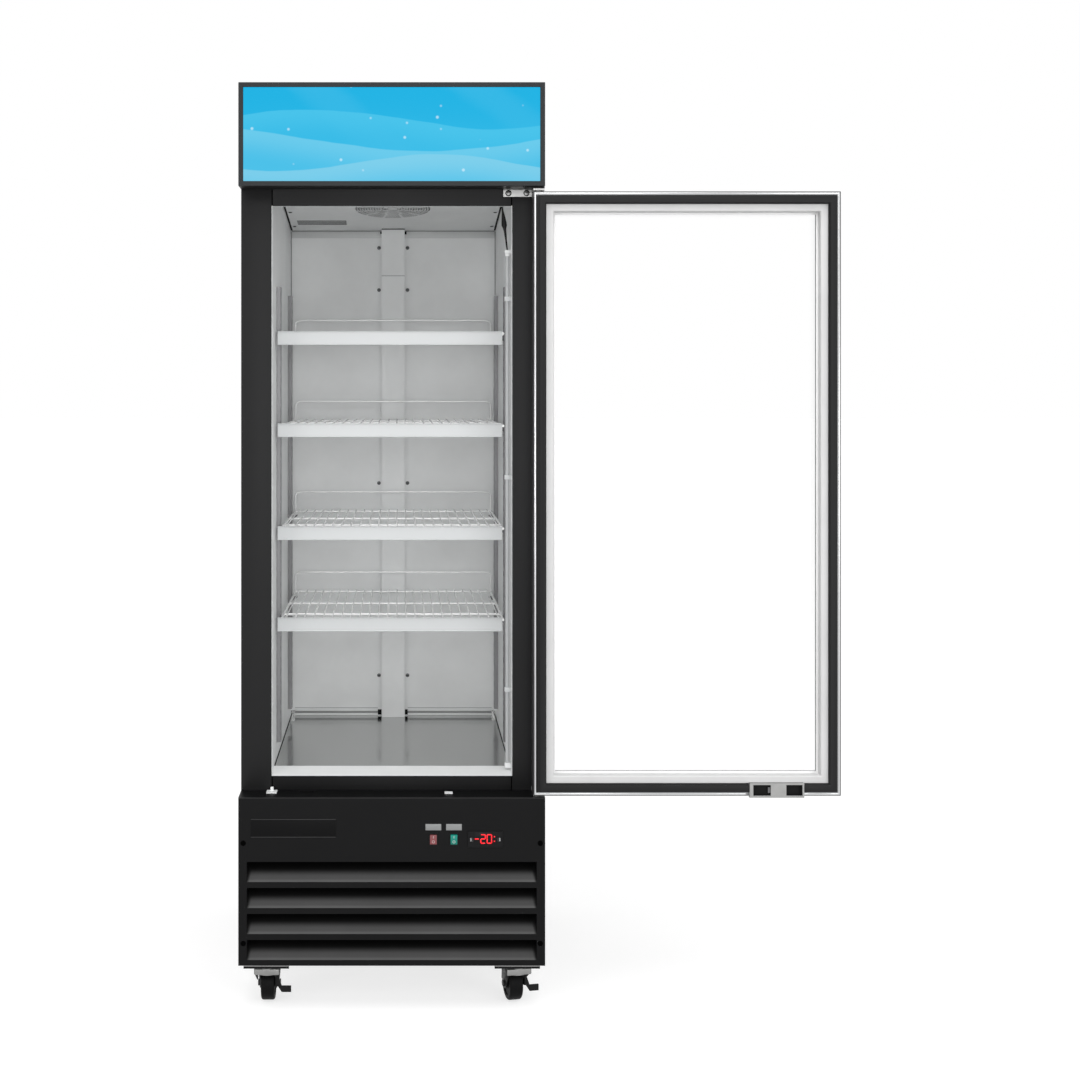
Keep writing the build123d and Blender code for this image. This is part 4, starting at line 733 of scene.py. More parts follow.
# A pale slip on the ledge's front edge: painted highlight.
ledge_edge = bars([(-342.4, 342.4)], y=(-62.3, -61.9), z=(476.3, 477.8))
slabs("ledge_edge", ledge_edge, 0.15, key_plastic, "cabinet")
print("light box and panel dressed")

# %% [markdown]
# ## Switches, controller and the films round them
# The switches and the controller are moulded parts that snap into the panel, so rounded copies of their
# solids do. Over each switch is a small label film, and further left a flat plate with a raised rim above
# and below, in a paler grey as painted highlight along the plate's edges. Films and plate are left bare,
# and stand a few tenths of a millimetre off the panel.

# %% Controls
LABEL_HALF, BADGE_X, BADGE_Z, RIM = 17.5, (-315, -125), (389, 430), 1.6

soften("switch_bodies", black_plastic, 0.5)
soften("rocker_power", red_lens, 0.8, 3)
soften("rocker_light", green_lens, 0.8, 3)
soften("controller_body", black_plastic, 1.2, 3)
soften("controller_button_left", key_plastic, 0.5)
soften("controller_button_right", key_plastic, 0.5)
soften("ledge_fittings", white_plastic, 0.6)
label_stock = moulded("label_film", (0.245, 0.25, 0.25), 0.5)
labels = [(x - LABEL_HALF, x + LABEL_HALF) for x in ROCKER_X.values()]
slabs("switch_labels", bars(labels, y=(-62.3, -61.9), z=(405, 419)), 0.1, label_stock, "cabinet")
slabs("bare_badge_plate", bars([BADGE_X], y=(-62.8, -61.9), z=BADGE_Z), 0.3, plate_coat, "cabinet")
# The rims take a paler grey than the plate: painted highlight along its edges.
rim_highlight_boxes = bars([BADGE_X], y=(-63.2, -61.9), z=(BADGE_Z[0], BADGE_Z[0] + RIM))
rim_highlight_boxes += bars([BADGE_X], y=(-63.2, -61.9), z=(BADGE_Z[1] - RIM, BADGE_Z[1]))
slabs("bare_badge_rim", rim_highlight_boxes, 0.4, key_plastic, "cabinet")
print("controls dressed")

# %% [markdown]
# ## The readout
# A temperature readout is a window of seven-segment digits. A font would give letters, not lit segments,
# so the segments are thin bars that give red light. Which of them are lit is a small table, and a loop
# over it sets the bars of each digit.

# %% Controller readout
DIGIT_WIDE, DIGIT_TALL, DIGIT_GAP, STROKE_HALF = 10.0, 19, 4.0, 1.2
LYING = (DIGIT_WIDE / 2 - 0.5, STROKE_HALF)  # half width and half height of a level stroke
STANDING = (STROKE_HALF, DIGIT_TALL / 4 - 0.4)
READOUT_LEFT, READOUT_MIDDLE, READOUT_Y = 185, 386.5, (-65.25, -64.95)
SEGMENTS = {"2": "abged", "0": "abcdef", "-": "g"}
STROKES = {  # side and level of each stroke's middle, and whether it lies level
    "a": (0, 1, True), "b": (1, 0.5, False), "c": (1, -0.5, False), "d": (0, -1, True),
    "e": (-1, -0.5, False), "f": (-1, 0.5, False), "g": (0, 0, True),
}


def digit_boxes(text):
    """The lit strokes of a row of digits."""
    boxes = []
    for place, digit in enumerate(text):
        centre = READOUT_LEFT + DIGIT_WIDE / 2 + place * (DIGIT_WIDE + DIGIT_GAP)
        for dx, dz, level in (STROKES[stroke] for stroke in SEGMENTS[digit]):
            x, z = centre + dx * DIGIT_WIDE / 2, READOUT_MIDDLE + dz * DIGIT_TALL / 2
            wide, tall = LYING if level else STANDING
            boxes += bars([(x - wide, x + wide)], READOUT_Y, z=(z - tall, z + tall))
    return boxes


LIT_TONES = ((0.60, 0.001, 0.006), (0.86, 0.004, 0.014))
red_glow = glowing("readout_red", *LIT_TONES, scale=300.0, rough=0.3, strength=1.0)
digits = digit_boxes("-20")
slabs("readout_bars", digits, 0.08, red_glow, "cabinet")
window = bars([(182.6, 235.4)], y=(-65.12, -64.9), z=(372.5, 400.5))
slabs("readout_window", window, 0.1, black_plastic, "cabinet")
dots = [box for z in (380, 390) for box in bars([(228, 230.6)], READOUT_Y, z=(z, z + 2.6))]
slabs("readout_lamps", dots, 0.1, red_glow, "cabinet")
print("readout strokes:", len(digits))

# %% [markdown]
# ## Marks on the keys
# Each of the two keys beside the readout carries a pale mark. It moves when the key is pressed, so it is
# a piece of its own that rides with its key and not with the cabinet.

# %% Key marks
MARK_Y, MARK_Z, SERIF = (-65.85, -65.5), (381.4, 388.6), 1.0

key_mark = moulded("key_mark", (0.62, 0.62, 0.62), 0.5)
for side, x in (("left", 176.0), ("right", 240.6)):
    bracket = bars([(x, x + 1.4)], MARK_Y, MARK_Z)
    for z in (MARK_Z[0], MARK_Z[1] - SERIF):
        bracket += bars([(x - 0.6, x + 2.0)], MARK_Y, z=(z, z + SERIF))
    slabs(f"key_mark_{side}", bracket, 0.1, key_mark, f"{side}_key")
print("keys marked")

# %% [markdown]
# ## Cooler cover in the ceiling
# The ceiling is one punched sheet that falls to the rear, so that defrost water runs to the duct. Arcs of
# slots under the fan are broken by ribs, and a block of slots takes the air back. Holes could be cut one
# by one with Boolean modifiers; a flat curve with holes, given thickness, punches the sheet in one step.
# A shear then gives it its fall and keeps uprights upright.

# %% Punched sheet
REAR_LEVEL, FALL, REAR_WALL = 1811.0, 0.125, 600.0
SHEAR = Matrix(((1, 0, 0, 0), (0, 1, 0, 0), (0, -FALL, 1, FALL * REAR_WALL / MM), (0, 0, 0, 1)))


def punched(name, outline, holes, low, thick):
    """A level sheet with holes, from outlines of (x, y) points."""
    curve = bpy.data.curves.new(name, "CURVE")
    curve.dimensions = "2D"
    curve.fill_mode = "BOTH"
    curve.extrude = thick / 2 / MM
    for ring in [outline] + holes:
        spline = curve.splines.new("POLY")
        spline.points.add(len(ring) - 1)
        for point, (x, y) in zip(spline.points, ring):
            point.co = (x / MM, y / MM, 0, 1)
        spline.use_cyclic_u = True
    sheet = evaluated(new_object(name, curve))
    sheet.data.transform(Matrix.Translation((0, 0, (low + thick / 2) / MM)))
    sheet.name = name
    return sheet


print("ceiling falls", FALL * REAR_WALL, "mm to the rear")

# %% [markdown]
# ## The ceiling's slots
# Thirteen rings of arc slots lie under the fan, with fewer arcs in the rings near the middle, as a press
# tool has them. The vent's slots are plain rectangles. All are outlines in one list, so that the sheet
# is punched once, whatever the number of holes.

# %% Arcs of slots
FAN_Y = 360.0


def arc_slot(inner, outer, start, stop, steps=8):
    """A slot between two radii about the fan's axis, from one angle to another."""
    turns = [math.radians(start + (stop - start) * i / steps) for i in range(steps + 1)]
    far = [(outer * math.cos(a), FAN_Y + outer * math.sin(a)) for a in turns]
    near = [(inner * math.cos(a), FAN_Y + inner * math.sin(a)) for a in reversed(turns)]
    return far + near


def slot_ring(inner, outer, count, rib):
    """A ring of arc slots with one slot's middle at the rear, and ribs of one width between slots."""
    share = 360 / count
    gap = math.degrees(rib / outer)
    return [
        arc_slot(inner, outer, 90 + share * (i - 0.5) + gap / 2, 90 + share * (i + 0.5) - gap / 2)
        for i in range(count)
    ]


print("points of one arc slot:", len(arc_slot(1, 2, 0, 90)))

# %% Ceiling sheet
COVER_X, COVER_Y, COVER_THICK = (-267.4, 267.4), (13, REAR_WALL), 0.4
RINGS, FIRST_RING, RING_STEP, ARC_WIDE, RIB = 13, 12, 6.5, 3.5, 5
VENT_ROWS, VENT_X, VENT_Y, VENT_STEP, VENT_WIDE = 5, (-249, -121), 484, 10.2, 7.4


def outline_of(x, y):
    """The four corners of a rectangle."""
    return [(x[0], y[0]), (x[1], y[0]), (x[1], y[1]), (x[0], y[1])]


holes = []
for ring in range(RINGS):
    radius = FIRST_RING + RING_STEP * ring
    count = 4 if radius < 26 else 8 if radius < 52 else 12
    holes += slot_ring(radius, radius + ARC_WIDE, count, RIB)
for row in range(VENT_ROWS):
    y = VENT_Y + row * VENT_STEP
    holes.append(outline_of(VENT_X, (y, y + VENT_WIDE)))
ceiling = punched("ceiling_sheet", outline_of(COVER_X, COVER_Y), holes, REAR_LEVEL, COVER_THICK)
ceiling.data.transform(SHEAR)
dress(ceiling, cover_coat, "cabinet", ["evaporator_cover"])
print("ceiling punched with", len(holes), "holes")

# %% [markdown]
# ## Round the cooler cover
# The cover has turned-up flanges at its sides. A dark plate behind the vent is painted shade in the hollow
# there, and a dark slip along each wall is painted shade in the gap. They follow the cover's slope, so they
# are drawn level at its rear edge and given the same shear. The duct's cap line, painted shadow under the
# pan, and its joint are dark slips too.

# %% Flanges, shade and gaps
def under_pan(name, boxes, finish):
    """Boxes drawn level at the pan's rear edge and then given the pan's fall."""
    made = slabs(name, boxes, 0.1, finish, "cabinet", segments=1)
    made.data.transform(SHEAR)
    return made


PAN_Y = (14, 599)
flanges = [(COVER_X[0], COVER_X[0] + SHEET), (COVER_X[1] - SHEET, COVER_X[1])]
flange_boxes = bars(flanges, PAN_Y, z=(REAR_LEVEL + 1.2, REAR_LEVEL + 21.2))
under_pan("ceiling_flanges", flange_boxes, cover_coat)
shade_boxes = bars([(-252, -118)], y=(480, 556), z=(REAR_LEVEL + 3.0, REAR_LEVEL + 3.6))
under_pan("vent_shade", shade_boxes, slot_dark)
gaps = [(-272.2, COVER_X[0]), (COVER_X[1], 272.2)]
under_pan("ceiling_gaps", bars(gaps, PAN_Y, z=(REAR_LEVEL + 0.3, REAR_LEVEL + 0.9)), slot_dark)
# Dark slips on the duct: painted shadow under its cap, its joint line, and two dark spots at its top.
duct_lines = bars([(-30.4, 30.4)], y=(574.6, 574.95), z=(1811.4, 1813.8))
duct_lines += bars([(-30.4, 30.4)], y=(574.7, 575.1), z=(1688.5, 1689.5))
duct_lines += bars([(30.6, 35.5)], y=(596, 599.8), z=(1801, 1809))
duct_lines += bars([(-34.5, -30.6)], y=(597, 599.8), z=(1802, 1808))
slabs("duct_lines", duct_lines, 0.05, slot_dark, "cabinet", segments=1)
paint("evaporator_coil", fin_metal)
paint("evaporator_fan", fan_plastic)
paint("evaporator_fan_motor", motor_steel)
print("cooler dressed")

# %% [markdown]
# ## Geometry Nodes for what repeats
# Wires, slots and screws repeat by the dozen. Copies could be made in a loop; a node tree says once how
# an item repeats, and its named inputs say what and where. Each tree here ends in Realize Instances
# and Set Material, and its result is turned into a plain mesh, because instances don't leave Blender.

# %% Trees that end alike
class Repeater(Wiring):
    """A Geometry Nodes tree with named inputs, a Finish among them."""

    def __init__(self, name, **kinds):
        super().__init__(bpy.data.node_groups.new(name, "GeometryNodeTree"))
        face = self.tree.interface
        for label, kind in {"Geometry": "Geometry", "Finish": "Material", **kinds}.items():
            face.new_socket(label, in_out="INPUT", socket_type="NodeSocket" + kind)
        face.new_socket("Geometry", in_out="OUTPUT", socket_type="NodeSocketGeometry")
        self.entry = self.tree.nodes.new("NodeGroupInput")
        self.leave = self.tree.nodes.new("NodeGroupOutput")

    def given(self, label):
        return Value(self, self.entry.outputs[label])

    def copies(self, points):
        """Copies of the Item object on points."""
        item = self.node("GeometryNodeObjectInfo", {}, {"Object": self.given("Item")}, "Geometry")
        return self.node("GeometryNodeInstanceOnPoints", {}, {"Points": points, "Instance": item})

    def close(self, geometry):
        """Realize Instances, Set Material, and out."""
        real = self.node("GeometryNodeRealizeInstances", {}, {"Geometry": geometry})
        inputs = {"Geometry": real, "Material": self.given("Finish")}
        self.link(self.node("GeometryNodeSetMaterial", {}, inputs), self.leave.inputs["Geometry"])
        return self

    def grow(self, name, mesh, **inputs):
        """The plain mesh that the tree makes from a mesh; inputs are set by identifier."""
        if "Item" in inputs and not inputs["Item"].data.materials:
            # An item with no finish would leave its copies an empty material slot.
            inputs["Item"].data.materials.append(inputs["Finish"])
        made = new_object(name, mesh)
        modifier = made.modifiers.new(self.tree.name, "NODES")
        modifier.node_group = self.tree
        for socket in self.tree.interface.items_tree:
            if socket.in_out == "INPUT" and socket.name in inputs:
                modifier[socket.identifier] = inputs[socket.name]
        return evaluated(made)


print("repeater ready")

# %% [markdown]
# ## Wire along edges
# Guards, shelves and leads are round wire bent along a path. A curve object with a bevel would do for one
# of them; a tree does for all: it takes a mesh of edges, bends its corners to a radius, and sweeps a
# circle along it. Each point carries its own thickness, so a wire can swell into a plug.

# %% Wire tree
def tube_tree():
    tree = Repeater("wire along edges", Corner="Float", Sides="Int")
    path = tree.node("GeometryNodeMeshToCurve", {}, {"Mesh": tree.given("Geometry")})
    bend = {"Curve": path, "Count": 5, "Radius": tree.given("Corner"), "Limit Radius": True}
    bent = tree.node("GeometryNodeFilletCurve", {"mode": "POLY"}, bend)
    circle = {"Resolution": tree.given("Sides"), "Radius": 1.0}
    ring = tree.node("GeometryNodeCurvePrimitiveCircle", {}, circle)
    carried = {"data_type": "FLOAT"}
    thick = tree.node("GeometryNodeInputNamedAttribute", carried, {"Name": "thick"}, "Attribute")
    sweep = {"Curve": bent, "Profile Curve": ring, "Scale": thick, "Fill Caps": True}
    return tree.close(tree.node("GeometryNodeCurveToMesh", {}, sweep))


TUBE = tube_tree()


def edge_mesh(name, paths):
    """Paths are (points, radius or list of radii, closed) triples."""
    points, edges, radii = [], [], []
    for path, radius, closed in paths:
        first = len(points)
        points += [[v / MM for v in point] for point in path]
        edges += [(first + i, first + i + 1) for i in range(len(path) - 1)]
        if closed:
            edges.append((len(points) - 1, first))
        radii += [r / MM for r in (radius if isinstance(radius, list) else [radius] * len(path))]
    mesh = bpy.data.meshes.new(name)
    mesh.from_pydata(points, edges, [])
    mesh.attributes.new("thick", "FLOAT", "POINT").data.foreach_set("value", radii)
    return mesh


def wired(name, paths, finish, sides, corner=0.0):
    """Round wire along paths, its corners bent to a radius."""
    sizes = {"Corner": corner / MM, "Sides": sides}
    return smooth_by_angle(TUBE.grow(name, edge_mesh(name, paths), Finish=finish, **sizes), SMOOTH_ANGLE)


print("tree:", TUBE.tree.name)

# %% [markdown]
# ## Fan guard
# Above the slots a wire guard keeps fingers from the blades. It is a few rings of wire, so each ring is
# a circle of edges that the wire tree makes round, given the same fall as the pan.

# %% Fan guard
GUARD_RADII, GUARD_WIRE = (12, 26, 40, 54, 68, 82, 96), 1.3


def guard_ring(radius, steps=48):
    turns = [2 * math.pi * i / steps for i in range(steps)]
    return [(radius * math.cos(a), FAN_Y + radius * math.sin(a), REAR_LEVEL + 2.0) for a in turns]


guard_paths = [(guard_ring(radius), GUARD_WIRE, True) for radius in GUARD_RADII]
guard = wired("fan_guard", guard_paths, guard_coat, sides=8)
guard.data.transform(SHEAR)
dress(guard, None, "cabinet")
print("guard faces", len(guard.data.polygons))

# %% [markdown]
# ## Wire shelves
# Each shelf is 24 thin wires welded on four rods inside a rim, with a guard rail bent up at the rear.
# The wires are alike and evenly spaced, so a second tree sets a row of copies of one wire. The rim, the
# rods and the guard are wire along edges, with the guard's corners bent to a radius.

# %% Row tree
def row_tree():
    tree = Repeater("row of copies", Item="Object", Count="Int", Start="Vector", Step="Vector")
    places = {"Count": "Count", "Start Location": "Start", "Offset": "Step"}
    inputs = {socket: tree.given(label) for socket, label in places.items()}
    return tree.close(tree.copies(tree.node("GeometryNodeMeshLine", {}, inputs)))


ROW = row_tree()


def row(name, item, finish, count, start, step):
    """Copies of an item along a line, from start by equal steps."""
    sizes = {"Count": count, "Start": [v / MM for v in start], "Step": [v / MM for v in step]}
    return ROW.grow(name, bpy.data.meshes.new(name), Item=item, Finish=finish, **sizes)


print("tree:", ROW.tree.name)

# %% [markdown]
# ## Four shelves at their heights
# The four shelves are the same product hung at four heights. They could be modelled once and copied; here
# a shelf is a function of its number and its height, so each is a mesh in its own place. The deck of wires
# stands for the solid shelf, and the rods and the guard go with it.

# %% Four shelves
SHELF_TOPS = (1525.0, 1311.0, 1072.0, 860.0)
SHELF_FRONT, SHELF_REAR, SHELF_HALF = 75.0, 572.0, 261.0
WIRE, ROD, GUARD, GUARD_RISE, GUARD_BEND = 1.5, 3.0, 2.4, 48, 12
WIRE_COUNT, WIRE_PITCH = 24, 21.5
ROD_YS = (SHELF_FRONT + ROD, SHELF_FRONT + ROD + 87, SHELF_FRONT + ROD + 269, SHELF_REAR - ROD)


def shelf_rods(number, top):
    """Rim, cross rods and rear guard."""
    rod_z, rail_z = top - 2 * WIRE - ROD, top + GUARD_RISE - GUARD
    side, rear = SHELF_HALF - ROD, SHELF_REAR - ROD
    paths = [([(x, SHELF_FRONT, rod_z), (x, SHELF_REAR, rod_z)], ROD, False) for x in (-side, side)]
    paths += [([(-side, y, rod_z), (side, y, rod_z)], ROD * 0.98, False) for y in ROD_YS]
    bend = [(-side, rear, rod_z), (-side, rear, rail_z), (side, rear, rail_z), (side, rear, rod_z)]
    paths.append((bend, GUARD, False))
    return wired(f"shelf_{number}_rods", paths, wire_coat, sides=14, corner=GUARD_BEND)


def shelf(number, top):
    rods = shelf_rods(number, top)
    one_path = [(0, SHELF_FRONT + 1, 0), (0, SHELF_REAR - 1, 0)]
    item = wired("one_wire", [(one_path, WIRE, False)], wire_coat, sides=10)
    start = (-WIRE_PITCH * (WIRE_COUNT - 1) / 2, 0, top - WIRE)
    deck = row(f"shelf_{number}_wires", item, wire_coat, WIRE_COUNT, start, (WIRE_PITCH, 0, 0))
    bpy.data.objects.remove(item)
    smooth_by_angle(deck, SMOOTH_ANGLE)
    dress(deck, None, "cabinet", [f"wire_shelf_{number}"])
    dress(rods, None, "cabinet")
    return len(deck.data.polygons) + len(rods.data.polygons)


print("shelf faces:", [shelf(number, top) for number, top in enumerate(SHELF_TOPS, 1)])

# %% [markdown]
# ## Price strips, clips and slotted standards
# A shelf hangs on clips in four standards, strips punched with a slot every inch. The slots could be cut
# out, but only their dark mouths show, so they are inlays of painted shade a hair proud of the strip, set
# by the row tree up each standard.

# %% Strips, clips and slots
SLOT_SIZE, SLOT_COUNT, SLOT_STEP = (0.3, 4.5, 12.0), 42, (0, 0, 25.4)
SLOT_X, SLOT_LOW = {"left": -262.38, "right": 262.38}, 574
STANDARD_Y = {"front": 132.5, "rear": 502.5}


def inlay(name, size):
    """A plain small box about the origin, to be copied."""
    work = bmesh.new()
    bmesh.ops.create_cube(work, size=1, matrix=Matrix.Diagonal((*[v / MM for v in size], 1)))
    return mesh_object(name, work)


soften("price_strips", strip_plastic, 0.6)
soften("shelf_clips", dark_steel, 0.5)
paint("shelf_standards", slotted_steel)
slot_item = inlay("slot_item", SLOT_SIZE)
for side, x in SLOT_X.items():
    for label, y in STANDARD_Y.items():
        name = f"standard_slots_{side}_{label}"
        slots = row(name, slot_item, slot_dark, SLOT_COUNT, (x, y, SLOT_LOW), SLOT_STEP)
        dress(slots, None, "cabinet")
bpy.data.objects.remove(slot_item)
print("standards slotted,", SLOT_COUNT, "slots each")

# %% [markdown]
# ## Turned shapes
# Screw heads, tubes and wheels are turned: a profile carried round an axis. A Screw modifier can do that,
# but a ring of points for each point of the profile leaves every axis free and closes the shape.

# %% Lathe
TURNED_ANGLE = 35  # edges sharper than this stay sharp


def lathe(name, profile, steps, axis="Z"):
    """A closed turned shape from (radius, height) points."""
    work = bmesh.new()
    turns = [2 * math.pi * i / steps for i in range(steps)]
    rings = []
    for radius, level in profile:
        ring = []
        for angle in turns:
            across, up, along = radius / MM * math.cos(angle), radius / MM * math.sin(angle), level / MM
            place = {"Z": (across, up, along), "Y": (across, along, up), "X": (along, across, up)}[axis]
            ring.append(work.verts.new(place))
        rings.append(ring)
    for low, high in zip(rings, rings[1:] + rings[:1]):
        for i in range(steps):
            work.faces.new((low[i], low[(i + 1) % steps], high[(i + 1) % steps], high[i]))
    bmesh.ops.remove_doubles(work, verts=work.verts, dist=1e-7)
    bmesh.ops.recalc_face_normals(work, faces=work.faces)
    return smooth_by_angle(mesh_object(name, work), TURNED_ANGLE)


print("lathe ready")

# %% [markdown]
# ## Copies on spots
# Screws and clips sit at places that follow no single line. A third tree takes a mesh of bare points and
# sets a copy of an item on each, so that a list of places is all a set of screws needs.

# %% Spots tree
def spots_tree():
    tree = Repeater("copies on spots", Item="Object")
    return tree.close(tree.copies(tree.given("Geometry")))


SPOTS = spots_tree()


def on_spots(name, item, finish, places):
    """Copies of an item on places; the item itself is then removed."""
    mesh = bpy.data.meshes.new(name)
    mesh.from_pydata([[v / MM for v in place] for place in places], [], [])
    made = SPOTS.grow(name, mesh, Item=item, Finish=finish)
    bpy.data.objects.remove(item)
    return made


print("tree:", SPOTS.tree.name)

# %% [markdown]
# ## Screws
# One pan-head screw with a slot serves everywhere, in several sizes. Its head is turned from a profile and
# its slot is a small dark bar at the head's top, painted shade in the recess. The spots tree sets a copy of
# both on every place in a list, so a row of screws is one piece and not twenty.

# %% Screw heads
HEAD_STEPS, HEAD_ANGLE = 14, 40
SLOT_LONG, SLOT_WIDE, SLOT_DEEP = 1.1, 0.3, 0.2  # the first two are shares of the head's radius


def screws(name, places, finish, radius, tall, towards):
    """Heads on places; towards is the axis, with its sign, that they look along."""
    axis, height = towards[1], -tall if towards[0] == "-" else tall
    profile = [(0, 0), (radius, 0), (radius, height * 0.45)]
    profile += [(radius * 0.72, height * 0.9), (radius * 0.3, height), (0, height)]
    head = lathe(name + "_item", profile, HEAD_STEPS, axis)
    made = smooth_by_angle(on_spots(name, head, finish, places), HEAD_ANGLE)
    long, wide = radius * SLOT_LONG, radius * SLOT_WIDE
    size, lift = {
        "Y": ((long, SLOT_DEEP, wide), (0, height, 0)),
        "Z": ((long, wide, SLOT_DEEP), (0, 0, height)),
    }[axis]
    tops = [[p + q for p, q in zip(place, lift)] for place in places]
    # The slot's dark bar is painted shade.
    slot_shade = on_spots(name + "_recess", inlay(name + "_slot", size), screw_black, tops)
    dress(slot_shade, None, "cabinet")
    dress(made, None, "cabinet")
    return len(places)


print("screw maker ready")

# %% Where the screws sit
HINGE_X, HINGE_Z = (265, 306), 1836.2
wall_places = [(x, 599.9, z) for x in (-38, 38) for z in (1765, 1653, 1139, 627)]
panel_places = [(x, -62, z) for x in (-332, 332) for z in (376, 152)]
corner_places = [(x, y, REAR_LEVEL + FALL * (REAR_WALL - y)) for x in (-259, 259) for y in (392, 547)]
washer_places = [(x, -3, HINGE_Z) for x in HINGE_X]
hinge_places = [(x, -3.4, HINGE_Z) for x in HINGE_X]
rear_places = [(x, REAR, z) for x in (-330, 0, 330) for z in (452, 850, 1250, 1650, 2062)]
rear_places += [(x, REAR, z) for x in (-330, 330) for z in (114, 428)]
count = screws("wall_screws", wall_places, dark_steel, radius=5.0, tall=2.2, towards="-Y")
count += screws("panel_screws", panel_places, screw_black, radius=6.0, tall=2.0, towards="-Y")
count += screws("ceiling_screws", corner_places, dark_steel, radius=4.6, tall=2.2, towards="-Z")
count += screws("hinge_washers", washer_places, screw_black, radius=7.2, tall=0.5, towards="-Y")
count += screws("hinge_screws", hinge_places, zinc, radius=5.2, tall=2.4, towards="-Y")
arm_edge = bars([(299, 342.8)], y=(-51.3, -50.8), z=(1841.4, 1844.6))
slabs("hinge_arm_edge", arm_edge, 0.1, lever_coat, "cabinet")
count += screws("rear_screws", rear_places, black_plastic, radius=4.0, tall=2.0, towards="+Y")
print("screws and washers set:", count)

# %% [markdown]
# ## Lamp
# The tube stands just inside the opening, between a foot and a head of white plastic, and clips hold it to
# the side strip. The tube is turned. The clips are alike, so one is made of three small walls and the
# spots tree sets it at three heights.

# %% Lamp tube, heads and clips
LAMP_X, LAMP_Y, LAMP_LOW, LAMP_HIGH, LAMP_RADIUS = 265.0, 38.0, 532.0, 1696.0, 4.5
HEAD_X, HEAD_Y, HEAD_LOW, HEAD_TOP, CAP = (259, 272.3), (32, 44), 520.1, 1710.0, 8
CLIP_Z, CLIP_HEIGHTS = (-5, 5), (1598, 1188, 700)

lamp_tall = LAMP_HIGH - LAMP_LOW
tube_profile = [(0, 0), (LAMP_RADIUS, 0), (LAMP_RADIUS, lamp_tall), (0, lamp_tall)]
tube = lathe("lamp_tube", tube_profile, steps=24)
tube.data.transform(Matrix.Translation((LAMP_X / MM, LAMP_Y / MM, LAMP_LOW / MM)))
dress(tube, tube_glow, "cabinet", ["cabin_lamp"])
head_boxes = bars([HEAD_X], HEAD_Y, z=(HEAD_LOW, LAMP_LOW))
head_boxes += bars([HEAD_X], HEAD_Y, z=(HEAD_TOP - CAP, HEAD_TOP))
head_boxes += bars([(260.3, 269.7)], y=(33.3, 42.7), z=(LAMP_HIGH, HEAD_TOP - CAP))
slabs("lamp_heads", head_boxes, 0.8, white_plastic, "cabinet", segments=3)
clip_boxes = bars([(-6, 6)], y=(-5.6, -4.6), z=CLIP_Z)
clip_boxes += bars([(5.6, 7.3)], y=(-5.6, 5.6), z=CLIP_Z)
clip_boxes += bars([(-6, 6)], y=(4.6, 5.6), z=CLIP_Z)
clip_spots = [(LAMP_X, LAMP_Y, z) for z in CLIP_HEIGHTS]
clips = on_spots("lamp_clips", box_object("clip_item", clip_boxes, 0.3), strip_plastic, clip_spots)
dress(clips, None, "cabinet")
print("lamp held by", len(clip_spots), "clips")

# %% [markdown]
# ## The lamp's lead
# The lead drops from the ceiling, swells into an in-line plug and narrows into the tube's head. It could
# be a wire with a plug put over it; one wire with its own radius at every point has no joint to hide.

# %% Lamp lead
LEAD_LEAN = 11.4 / 97  # how far it leans to the left for each millimetre of rise
LEAD = (  # height and radius of each point, from the ceiling down
    (1880.8, 1.7), (1806.8, 1.7), (1799, 2.1), (1786, 4.2), (1771, 6.2),
    (1766, 6.3), (1761, 4.2), (1754, 3.0), (1736, 2.2), (1709.5, 1.8),
)

lead_points = [(LAMP_X - LEAD_LEAN * (z - HEAD_TOP), LAMP_Y, z) for z, _ in LEAD]
lead_path = (lead_points, [radius for _, radius in LEAD], False)
lead = wired("lamp_lead_drop", [lead_path], lead_rubber, sides=16)
dress(lead, None, "cabinet", ["lamp_lead"])
print("lead points:", len(lead_points))

# %% [markdown]
# ## The door
# The door rests open, inner side to the viewer: aluminium rim, rubber gasket, grey glazing frame, glass.
# Rim, frame and lock are rounded copies of their solids, and the panes keep their own mesh, because glass
# only needs its finish. A dark plate behind the lock housing closes its two windows.

# %% Door frame, glass and lock
soften("door_frame", door_metal, 1.0)
soften("glazing_frame", glazing_plastic, 0.8)
paint("glass_panes", clear_glass)
paint("glass_spacer", glazing_plastic)
soften("lock_housing", zinc, 0.6)
lock_backing = bars([(800, 916)], y=(-65.4, -64.1), z=(483.2, 510.5))
slabs("lock_backing", lock_backing, 0.2, slot_dark, "door")
soften("lock_barrel", dark_steel, 0.5)
soften("door_hinges", bright_zinc, 0.6)
print("door dressed")

# %% [markdown]
# ## Bead that seals the glass
# A narrow white bead runs round the inner pane where it meets its frame. It is cut from four straight
# lengths with square ends, so it is made as four boxes: two full uprights and two rails between them.

# %% Glass bead
GLASS_X, GLASS_Z, GLASS_BEAD, BEAD_Y = (362.0, 958.0), (527.7, 1787.4), 5.0, (-43.6, -42.1)

inner_x = (GLASS_X[0] + GLASS_BEAD, GLASS_X[1] - GLASS_BEAD)
seal_boxes = bars([(GLASS_X[0], inner_x[0]), (inner_x[1], GLASS_X[1])], BEAD_Y, GLASS_Z)
for low in (GLASS_Z[0], GLASS_Z[1] - GLASS_BEAD):
    seal_boxes += bars([inner_x], BEAD_Y, z=(low, low + GLASS_BEAD))
slabs("glass_bead", seal_boxes, 0.4, bead_plastic, "door")
print("bead lengths:", len(seal_boxes))

# %% [markdown]
# ## Gasket
# The gasket is one bellows section carried round the door with mitred corners, broken where the lock
# housing crosses it. A curve with a custom profile would pinch the section at the corners. Here every
# point of the section simply sits at its own inset from the rim, which is what a mitre is.

